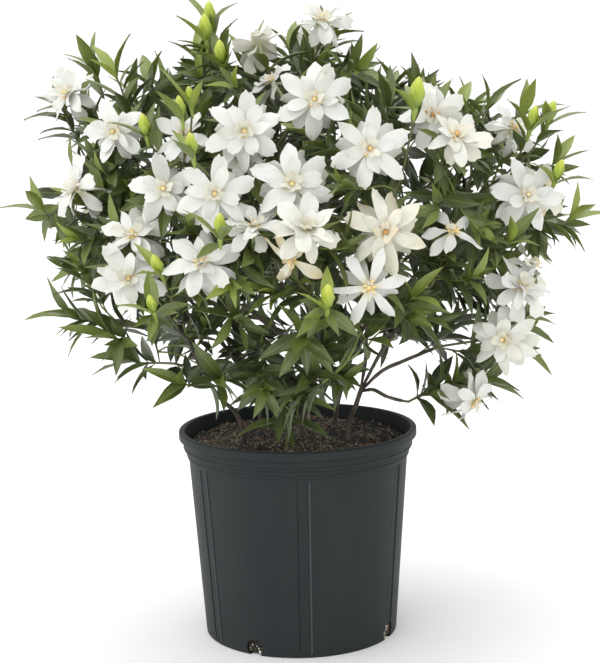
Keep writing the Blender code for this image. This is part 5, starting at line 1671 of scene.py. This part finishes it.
def stand_bud(carrier, end, heading, length):
    """A bud on the end of a twig, with the swelling that carries it."""
    place = frame_at(end - heading * 1.0 * MM, heading, heading.orthogonal())
    carrier.stand(SECOND, place, (length * 1.05, length * 0.99, length * 1.05), 0, 0.5)
    wide = length * 0.125
    swelling = [end - heading * 14 * MM, end - heading * 7 * MM, end, end + heading * 4 * MM]
    carrier.path(swelling, [1.2 * MM, wide * 0.72, wide, wide * 0.7], [1.0] * 4)


def stand_calyx(carrier, end, heading):
    """The five narrow teeth below a bud or a bloom."""
    for k in range(CALYX_TEETH):
        turn = Matrix.Rotation(2 * math.pi * k / CALYX_TEETH, 4, heading)
        side = turn @ heading.orthogonal().normalized()
        base = end - heading * 2.0 * MM + side * 1.6 * MM
        place = frame_at(base, heading * 0.97 + side * 0.22, -side)
        carrier.stand(FIRST, place, (2.0 * MM, 11 * MM, 11 * MM), 0, 0.75)


def dress_sprays(sprays, shapes, finishes):
    tree = plant_tree("spray", ((FIRST, "leaf"), (SECOND, "bud")), "twig")
    for name, spray in sprays.items():
        rng = seeded("look", name)
        carrier = Carrier()
        for twig in spray["twigs"]:
            points, sizes = twig["points"], twig["sizes"]
            green = 0.35 + 0.5 * bool(twig.get("filler"))
            carrier.path(points, [size * 0.86 for size in sizes], [green] * len(points))
            for level, node in enumerate(twig["nodes"]):
                for place, length, width, bend, _ in node["leaves"].values():
                    tone = leaf_tone(rng, twig, level, place)
                    carrier.stand(FIRST, place, (width * 1.04, length, length), nearest_bend(bend), tone)
            end = points[-1]
            heading = (points[-1] - points[-2]).normalized()
            if twig["kind"] == "bud":
                stand_bud(carrier, end, heading, twig["extra"] + 1.0 * MM)
            if twig["kind"] != "shoot":
                stand_calyx(carrier, end, heading)
        obj = carrier.mesh_object(spray["node"])
        tree.run(obj, shapes, finishes, sides=7, step=0.008)
        if name == "inner":
            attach(obj, "root")
        else:
            dress(obj, spray["node"])


def stand_tube(carrier, hub):
    """A bloom's tube, green at its foot and pale at its throat."""
    profile = ((CALYX_RADIUS * 0.92, -TUBE_LENGTH), (1.9 * MM, -17 * MM), (2.0 * MM, -8 * MM),
               (3.2 * MM, -1.5 * MM), (3.4 * MM, 1.0 * MM), (1.0 * MM, 2.6 * MM))
    carrier.path([hub @ Vector((0, 0, height)) for _, height in profile], [radius for radius, _ in profile],
                 [max(0.0, 1.0 + height / TUBE_LENGTH) for _, height in profile])


def stand_heart(carrier, hub, browned, rng):
    """A bloom's heart: an upright pistil and anthers spread round it."""
    upright = hub @ frame_at(Vector((0, 0, 1.5 * MM)), (0.12, 0.05, 1), (1, 0, 0))
    carrier.stand(SECOND, upright, (12 * MM, 8.5 * MM, 12 * MM), 0, browned)
    for k in range(ANTHERS):
        angle = 2 * math.pi * (k + rng.uniform(-0.2, 0.2)) / ANTHERS
        out = Vector((math.cos(angle), math.sin(angle), rng.uniform(0.25, 0.6)))
        place = hub @ frame_at(Vector((0, 0, 2.4 * MM)), out, (0, 0, 1))
        carrier.stand(SECOND, place, (17 * MM, rng.uniform(7.5, 11.0) * MM, 11 * MM), 1, browned)


def dress_blooms(blooms, shapes, finishes):
    tree = plant_tree("bloom", ((FIRST, "petal"), (SECOND, "heart")), "tube")
    carriers = {}
    for name, bloom in blooms.items():
        rng = seeded("look", name)
        carrier = carriers.setdefault(bloom["node"], Carrier())
        cream = CREAM.get(name, 0.0)
        petals = [row[:5] for row in bloom["petals"]] + bloom["fine"]
        for place, length, width, bend, tier in petals:
            # The lower tier is a little creamier, painted shade of the petals' undersides; the inner tier is
            # creamier still.
            tone = cream * rng.uniform(0.4, 1.4) + rng.uniform(-0.03, 0.07) + (0, 0.05, 0, 0.20)[tier]
            tone = max(0.0, min(1.0, tone))
            lean = Matrix.Rotation(rng.uniform(-0.26, 0.26), 4, "Y")
            size = (width * rng.uniform(0.90, 1.06), length * 1.02, length * 1.02)
            carrier.stand(FIRST, place @ lean, size, nearest_bend(bend, rng), tone)
        stand_tube(carrier, bloom["hub"])
        stand_heart(carrier, bloom["hub"], BROWN_HEARTS.get(name, 0.0), rng)
    for node, carrier in carriers.items():
        obj = carrier.mesh_object(node)
        tree.run(obj, shapes, finishes, sides=10, step=0.003)
        dress(obj, node)


def dress_stems(stems, finishes):
    tree = plant_tree("stem", (), "bark", rough=0.0012)
    for stem in stems.values():
        carrier = Carrier()
        for points, sizes in stem["rods"]:
            carrier.path(points, [size * 0.94 for size in sizes], [0.5] * len(points))
        obj = carrier.mesh_object(stem["node"])
        tree.run(obj, {}, finishes, sides=12, step=0.004)
        dress(obj, stem["node"])


def lathe(name, profile, steps):
    """A body turned about Z from (radius, height) pairs on +X, first and last on the axis."""
    bm = bmesh.new()
    points = [bm.verts.new((r, 0, z)) for r, z in profile]
    edges = [bm.edges.new(pair) for pair in zip(points, points[1:])]
    bmesh.ops.spin(bm, geom=points + edges, cent=(0, 0, 0), axis=(0, 0, 1), angle=2 * math.pi, steps=steps,
                   use_duplicate=False)
    bmesh.ops.remove_doubles(bm, verts=bm.verts, dist=1e-6)
    bmesh.ops.recalc_face_normals(bm, faces=bm.faces)
    soften(bm, 0.6)
    return put(bm, name)


def arc(centre_r, centre_z, radius, start, end, steps):
    """Points of a quarter round of an outline, its angles in degrees."""
    turns = [math.radians(start + (end - start) * k / steps) for k in range(steps + 1)]
    return [(centre_r + radius * math.cos(a), centre_z + radius * math.sin(a)) for a in turns]


def on_wall(shelf, bm, angle, radius, across, height, tilt):
    """Makes an object of a tool for the pot's wall, and sets it at an angle in degrees round the pot."""
    place = (Matrix.Rotation(math.radians(angle), 4, "Z") @ Matrix.Translation((radius, across, height))
             @ Matrix.Rotation(tilt, 4, "Y"))
    bmesh.ops.transform(bm, matrix=place, verts=bm.verts)
    put(bm, f"tool_{len(shelf.objects)}", shelf)


def pot_outline():
    """The outline of the pot's section, from the middle of its underside round the lip to its inside."""
    inner = LIP_RADIUS - LIP_THICK
    round_edge = 1.6 * MM
    wall = [(0.0, 0.0), (BASE_RADIUS - 4 * MM, 0.0)]
    wall += arc(BASE_RADIUS - 1.4 * MM, 1.4 * MM, 1.4 * MM, -90, 4, 4)
    wall += [(BODY_TOP_RADIUS - 0.2 * MM, COLLAR_Z - 0.6 * MM)]
    wall += [(COLLAR_RADIUS - 0.2 * MM, COLLAR_Z + 0.8 * MM)]
    wall += arc(COLLAR_RADIUS - 0.2 * MM, COLLAR_Z + 3.0 * MM, 0.8 * MM, -75, 75, 6)
    wall += [(COLLAR_RADIUS, COLLAR_Z + 4.2 * MM), (COLLAR_RADIUS, BAND_Z - 0.6 * MM)]
    wall += [(COLLAR_RADIUS + 0.8 * MM, BAND_Z)]
    wall += arc(BAND_RADIUS - 1.2 * MM, BAND_Z + 1.6 * MM, 1.2 * MM, -70, 0, 3)
    wall += arc(BAND_RADIUS - 0.2 * MM, BAND_Z + 3.2 * MM, 0.9 * MM, -75, 75, 6)
    wall += [(BAND_RADIUS, LIP_Z - 0.8 * MM), (BAND_RADIUS + 0.8 * MM, LIP_Z)]
    wall += arc(LIP_RADIUS - round_edge, LIP_Z + round_edge + 0.2 * MM, round_edge, -80, 0, 4)
    wall += arc(LIP_RADIUS - 2.4 * MM, POT_HEIGHT - 2.4 * MM, 2.4 * MM, 0, 90, 6)
    wall += arc(inner + 2.0 * MM, POT_HEIGHT - 2.0 * MM, 2.0 * MM, 90, 180, 5)
    wall += [(inner - 0.6 * MM, LIP_Z), (BODY_TOP_RADIUS - WALL, COLLAR_Z)]
    return wall + [(BASE_RADIUS - WALL, FLOOR), (0.0, FLOOR)]


def wall_radius(z):
    """The radius of the pot's plain wall at a height."""
    return BASE_RADIUS + (BODY_TOP_RADIUS - BASE_RADIUS) * z / COLLAR_Z


def round_bar(radius, length, sides):
    bm = bmesh.new()
    bmesh.ops.create_cone(bm, cap_ends=True, segments=sides, radius1=radius, radius2=radius, depth=length)
    return bm


def cut_flutes(shelf):
    """Each flute: a shallow one with rounded edges, and a fine groove at its left edge."""
    low, high = FLUTE_ENDS
    middle = (low + high) / 2
    for k in range(FLUTES):
        for across, wide, deep in ((0.0, FLUTE_WIDTH, FLUTE_DEPTH), (-FLUTE_WIDTH / 2, 1.5 * MM, 1.3 * MM)):
            bm = bmesh.new()
            bmesh.ops.create_cube(bm, size=1.0)
            bmesh.ops.scale(bm, vec=(4 * MM, wide, high - low), verts=bm.verts)
            bmesh.ops.bevel(bm, geom=bm.edges[:], offset=0.4 * MM, segments=2, affect="EDGES")
            radius = wall_radius(middle) - deep + 2 * MM
            on_wall(shelf, bm, FLUTE_ANGLE + 360.0 / FLUTES * k, radius, across, middle, WALL_SLOPE)


def cut_drains(shelf):
    """A round hole through the wall for each drain."""
    for k in range(DRAINS):
        on_wall(shelf, round_bar(DRAIN_RADIUS, 30 * MM, 40), DRAIN_ANGLE + 360.0 / DRAINS * k, BASE_RADIUS,
                0, DRAIN_Z, math.radians(90))


def raise_beads(shelf):
    """A thin bead up the wall beside each flute."""
    low, high = FLUTE_ENDS
    middle = (low + high) / 2
    for k in range(FLUTES):
        bead = round_bar(BEAD_RADIUS, high - low, 14)
        on_wall(shelf, bead, FLUTE_ANGLE + 360.0 / FLUTES * k, wall_radius(middle) - BEAD_SUNK,
                FLUTE_WIDTH / 2 + 1.6 * MM, middle, WALL_SLOPE)


def dress_pot(finishes):
    """The moulded wall with its rolled lip, band and collar, its flutes, their beads and the drain holes."""
    pot = lathe("pot", pot_outline(), 144)
    shelves = []
    for label, operation, makers in (("pot_beads", "UNION", (raise_beads,)),
                                     ("pot_cutters", "DIFFERENCE", (cut_flutes, cut_drains))):
        shelf = bpy.data.collections.new(label)
        bpy.context.scene.collection.children.link(shelf)
        shelves.append(shelf)
        for make in makers:
            make(shelf)
        work = pot.modifiers.new(label, "BOOLEAN")
        work.operation = operation
        work.operand_type = "COLLECTION"
        work.collection = shelf
        work.solver = "EXACT"
    plain_mesh(pot)
    for shelf in shelves:
        clear_away(shelf)
    pot.data.materials.clear()
    pot.data.materials.append(finishes["pot"])
    pot.data.materials.append(finishes["pot_painted_highlight"])
    bm = bmesh.new()
    bm.from_mesh(pot.data)
    low, high = FLUTE_ENDS
    # The caps of the beads, that stand out from the wall, take the paler finish: a painted highlight along
    # each bead.
    for face in bm.faces:
        at = face.calc_center_median()
        face.material_index = int(low < at.z < high and math.hypot(at.x, at.y) > wall_radius(at.z) + 0.3 * MM)
    soften(bm, 0.5)
    bm.to_mesh(pot.data)
    bm.free()
    return dress(pot, "pot")


def crumb_shapes(shelf, name, stretch, seed):
    """Small rough lumps, one unit across: bark where they are stretched, perlite where they are round."""
    for k in range(CRUMB_KINDS):
        rng = random.Random(f"{seed} {k}")
        bm = bmesh.new()
        bmesh.ops.create_icosphere(bm, subdivisions=1, radius=0.5)
        for v in bm.verts:
            v.co = Vector([along * share for along, share in zip(v.co, stretch)]) * rng.uniform(0.7, 1.15)
        put(bm, f"{name}_{k}", shelf)


def soil_level(share):
    """The bed's plain level, from its middle (0) to its edge (1)."""
    return SOIL_Z + SOIL_CROWN - SOIL_FALL * share ** 3


def soil_lumps(x, y):
    """How far the bed stands above or below its plain level."""
    lumps = math.sin(x * 61 + 1.3) * math.cos(y * 53 + 0.4) + 0.6 * math.sin(x * 131 + y * 97)
    return 1.3 * MM * lumps


def soil_bed(finish):
    """The bed of soil that fills the pot."""
    inner = BASE_RADIUS - WALL - 0.9 * MM
    shares = [k / BED_RINGS for k in range(BED_RINGS + 1)]
    rings = [(share * (SOIL_RADIUS - 1 * MM), soil_level(share)) for share in shares]
    profile = [*rings, (SOIL_RADIUS, SOIL_Z - 6 * MM), (inner, FLOOR + 0.5 * MM), (0.0, FLOOR + 0.5 * MM)]
    bed = lathe("soil", profile, 96)
    for v in bed.data.vertices:
        if v.co.z > SOIL_Z - 4 * MM:
            v.co.z += soil_lumps(v.co.x, v.co.y)
    bed.data.materials.append(finish)
    return bed


def any_turn(rng, *ranges):
    """A turn with an angle about each axis drawn from its range."""
    return Euler([rng.uniform(*pair) for pair in ranges]).to_matrix().to_4x4()


def soil_crumbs():
    """Crumbs, chips and perlite on the bed, and those that show in the drain holes."""
    carrier = Carrier()
    rng = random.Random(SEED + 20)
    for role, count, low, high in ((FIRST, 3400, 1.2, 4.2), (SECOND, 130, 4.0, 11.0), (THIRD, 80, 0.9, 2.2)):
        for _ in range(count):
            reach = SOIL_RADIUS * math.sqrt(rng.random()) - high * 0.4 * MM
            angle = rng.uniform(0, 2 * math.pi)
            x, y = reach * math.cos(angle), reach * math.sin(angle)
            z = soil_level(abs(reach) / SOIL_RADIUS) + soil_lumps(x, y) + rng.uniform(-0.6, 0.8) * MM
            turn = any_turn(rng, (-0.5, 0.5), (-0.5, 0.5), (0, 6.28))
            size = rng.uniform(low, high) * MM
            tone = rng.random() ** 2.2 * 1.5
            place = Matrix.Translation((x, y, z)) @ turn
            carrier.stand(role, place, (size, size, size), rng.randrange(CRUMB_KINDS), tone)
    for k in range(DRAINS):
        centre = math.radians(DRAIN_ANGLE + 360.0 / DRAINS * k)
        for _ in range(70):
            angle = centre + rng.uniform(-0.085, 0.085)
            z = rng.uniform(3.5, DRAIN_Z / MM + DRAIN_RADIUS / MM) * MM
            reach = BASE_RADIUS - WALL - rng.uniform(0.6, 1.8) * MM
            turn = any_turn(rng, (0, 6), (0, 6), (0, 6))
            size = rng.uniform(1.5, 4.0) * MM
            place = Matrix.Translation((reach * math.cos(angle), reach * math.sin(angle), z)) @ turn
            role = rng.choice((FIRST, FIRST, FIRST, SECOND, THIRD))
            carrier.stand(role, place, (size, size, size), rng.randrange(CRUMB_KINDS), 0.5)
    return carrier.mesh_object("soil_crumbs")


def dress_soil(shapes, finishes):
    tree = plant_tree("soil", ((FIRST, "crumb"), (SECOND, "chip"), (THIRD, "perlite")))
    bed = soil_bed(finishes["soil"])
    crumbs = soil_crumbs()
    tree.run(crumbs, shapes, {**finishes, "crumb": finishes["soil"]})
    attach(crumbs, "root")
    return dress(bed, "soil")


# The stage.


def lamp(name, kind, place, target, power):
    """A light that stands at a place and points at a target."""
    light = bpy.data.lights.new(name, kind)
    light.energy = power
    obj = bpy.data.objects.new(name, light)
    bpy.context.scene.collection.objects.link(obj)
    obj.location = place
    obj.rotation_euler = (Vector(target) - Vector(place)).to_track_quat("-Z", "Y").to_euler()
    return light


def set_stage():
    """A pale floor, soft light all round, and the camera."""
    mesh = bpy.data.meshes.new("floor")
    mesh.from_pydata([(-30, -30, 0), (30, -30, 0), (30, 30, 0), (-30, 30, 0)], [], [(0, 1, 2, 3)])
    floor = bpy.data.objects.new("floor", mesh)
    bpy.context.scene.collection.objects.link(floor)
    pale = Finish("floor_finish", 0.9)
    pale.shader.inputs["Base Color"].default_value = (0.96, 0.96, 0.96, 1)
    mesh.materials.append(pale.material)

    world = bpy.data.worlds.new("studio")
    world.use_nodes = True
    nodes, links = world.node_tree.nodes, world.node_tree.links
    soft, seen = nodes["Background"], nodes.new("ShaderNodeBackground")
    rays, choice = nodes.new("ShaderNodeLightPath"), nodes.new("ShaderNodeMixShader")
    for background, strength in ((soft, ROOM_LIGHT), (seen, ROOM_SEEN)):
        background.inputs["Color"].default_value = (1.0, 1.0, 1.0, 1)
        background.inputs["Strength"].default_value = strength
    links.new(rays.outputs["Is Camera Ray"], choice.inputs["Fac"])
    links.new(soft.outputs[0], choice.inputs[1])
    links.new(seen.outputs[0], choice.inputs[2])
    links.new(choice.outputs[0], nodes["World Output"].inputs["Surface"])
    bpy.context.scene.world = world
    # Even light from far off, so wide that its shadows are soft.
    key = lamp("key", "SUN", (-1.9, -1.7, 2.6), (0, 0, 0.4), KEY_LIGHT)
    key.angle = math.radians(90)
    top = lamp("top", "AREA", (0.2, 0.6, 2.6), (0, 0, 0.5), 16)
    top.shape = "SQUARE"
    top.size = 2.0
    bpy.context.scene.view_settings.view_transform = "Standard"

    camera = bpy.data.cameras.new("camera")
    camera.sensor_fit = "HORIZONTAL"
    camera.sensor_width = 36.0
    camera.lens = LENS
    camera.clip_end = 100.0
    eye = bpy.data.objects.new("camera", camera)
    bpy.context.scene.collection.objects.link(eye)
    pitch, roll = math.radians(PITCH), math.radians(ROLL)
    forward = Vector((0, math.cos(pitch), math.sin(pitch)))
    right = Vector((1, 0, 0))
    up = right.cross(forward)
    turned_right = right * math.cos(roll) + up * math.sin(roll)
    turned_up = up * math.cos(roll) - right * math.sin(roll)
    view = Matrix((turned_right, turned_up, -forward)).transposed().to_4x4()
    view.translation = EYE
    eye.matrix_world = view
    bpy.context.scene.camera = eye


def make_shapes():
    """The small shapes that are placed many times, a collection for each kind."""
    makers = {
        "leaf": leaf_shapes,
        "bud": bud_shape,
        "petal": petal_shapes,
        "heart": heart_shapes,
        "crumb": lambda shelf: crumb_shapes(shelf, "crumb", (1.0, 0.7, 0.5), 31),
        "chip": lambda shelf: crumb_shapes(shelf, "chip", (1.3, 0.6, 0.25), 32),
        "perlite": lambda shelf: crumb_shapes(shelf, "perlite", (1.0, 0.9, 0.8), 33),
    }
    shapes = {}
    for label, make in makers.items():
        shapes[label] = bpy.data.collections.new("shapes_" + label)
        make(shapes[label])
    return shapes


def make_finishes():
    """Every finish of the plant, its pot and its soil, by name."""
    return {
        "leaf": leaf_finish(),
        "petal": petal_finish(),
        "heart": heart_finish(),
        "tube": tube_finish(),
        "bud": bud_finish(),
        "twig": twig_finish(),
        "bark": bark_finish(),
        "pot": pot_finish("pot_finish", (0.015, 0.019, 0.021), (0.022, 0.027, 0.028)),
        # The paler finish on the caps of the beads: a painted highlight.
        "pot_painted_highlight": pot_finish("pot_edge_finish", (0.040, 0.047, 0.050), (0.060, 0.068, 0.070)),
        "soil": soil_finish("soil_finish", (0.006, 0.005, 0.003), (0.050, 0.038, 0.023),
                            (0.400, 0.350, 0.240), 330, 0.8),
        "chip": soil_finish("chip_finish", (0.040, 0.018, 0.010), (0.110, 0.048, 0.026),
                            (0.240, 0.130, 0.075), 120, 0.5),
        "perlite": soil_finish("perlite_finish", (0.45, 0.43, 0.38), (0.70, 0.68, 0.63),
                               (0.85, 0.83, 0.80), 300, 0.4),
    }


def main():
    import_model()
    shapes = make_shapes()
    finishes = make_finishes()

    plan = Plan()
    blooms = plan_blooms(plan)
    stems = plan_stems(plan)
    sprays = plan_sprays(plan, blooms, stems)
    plan_low_shoot(plan, sprays)
    plan_pot(plan)
    plan_leaves(plan, sprays, {"bloom": 1, "bud": 1, "shoot": 2})
    for name, bloom in blooms.items():
        fill_bloom(plan, name, bloom)
    for name, bloom in blooms.items():
        clear_view(plan, name, bloom)
    filler_twigs(plan, sprays, stems)
    more_leaves(plan, sprays)

    dress_pot(finishes)
    dress_soil(shapes, finishes)
    dress_stems(stems, finishes)
    dress_sprays(sprays, shapes, finishes)
    dress_blooms(blooms, shapes, finishes)
    for shelf in shapes.values():
        clear_away(shelf)
    set_stage()


main()
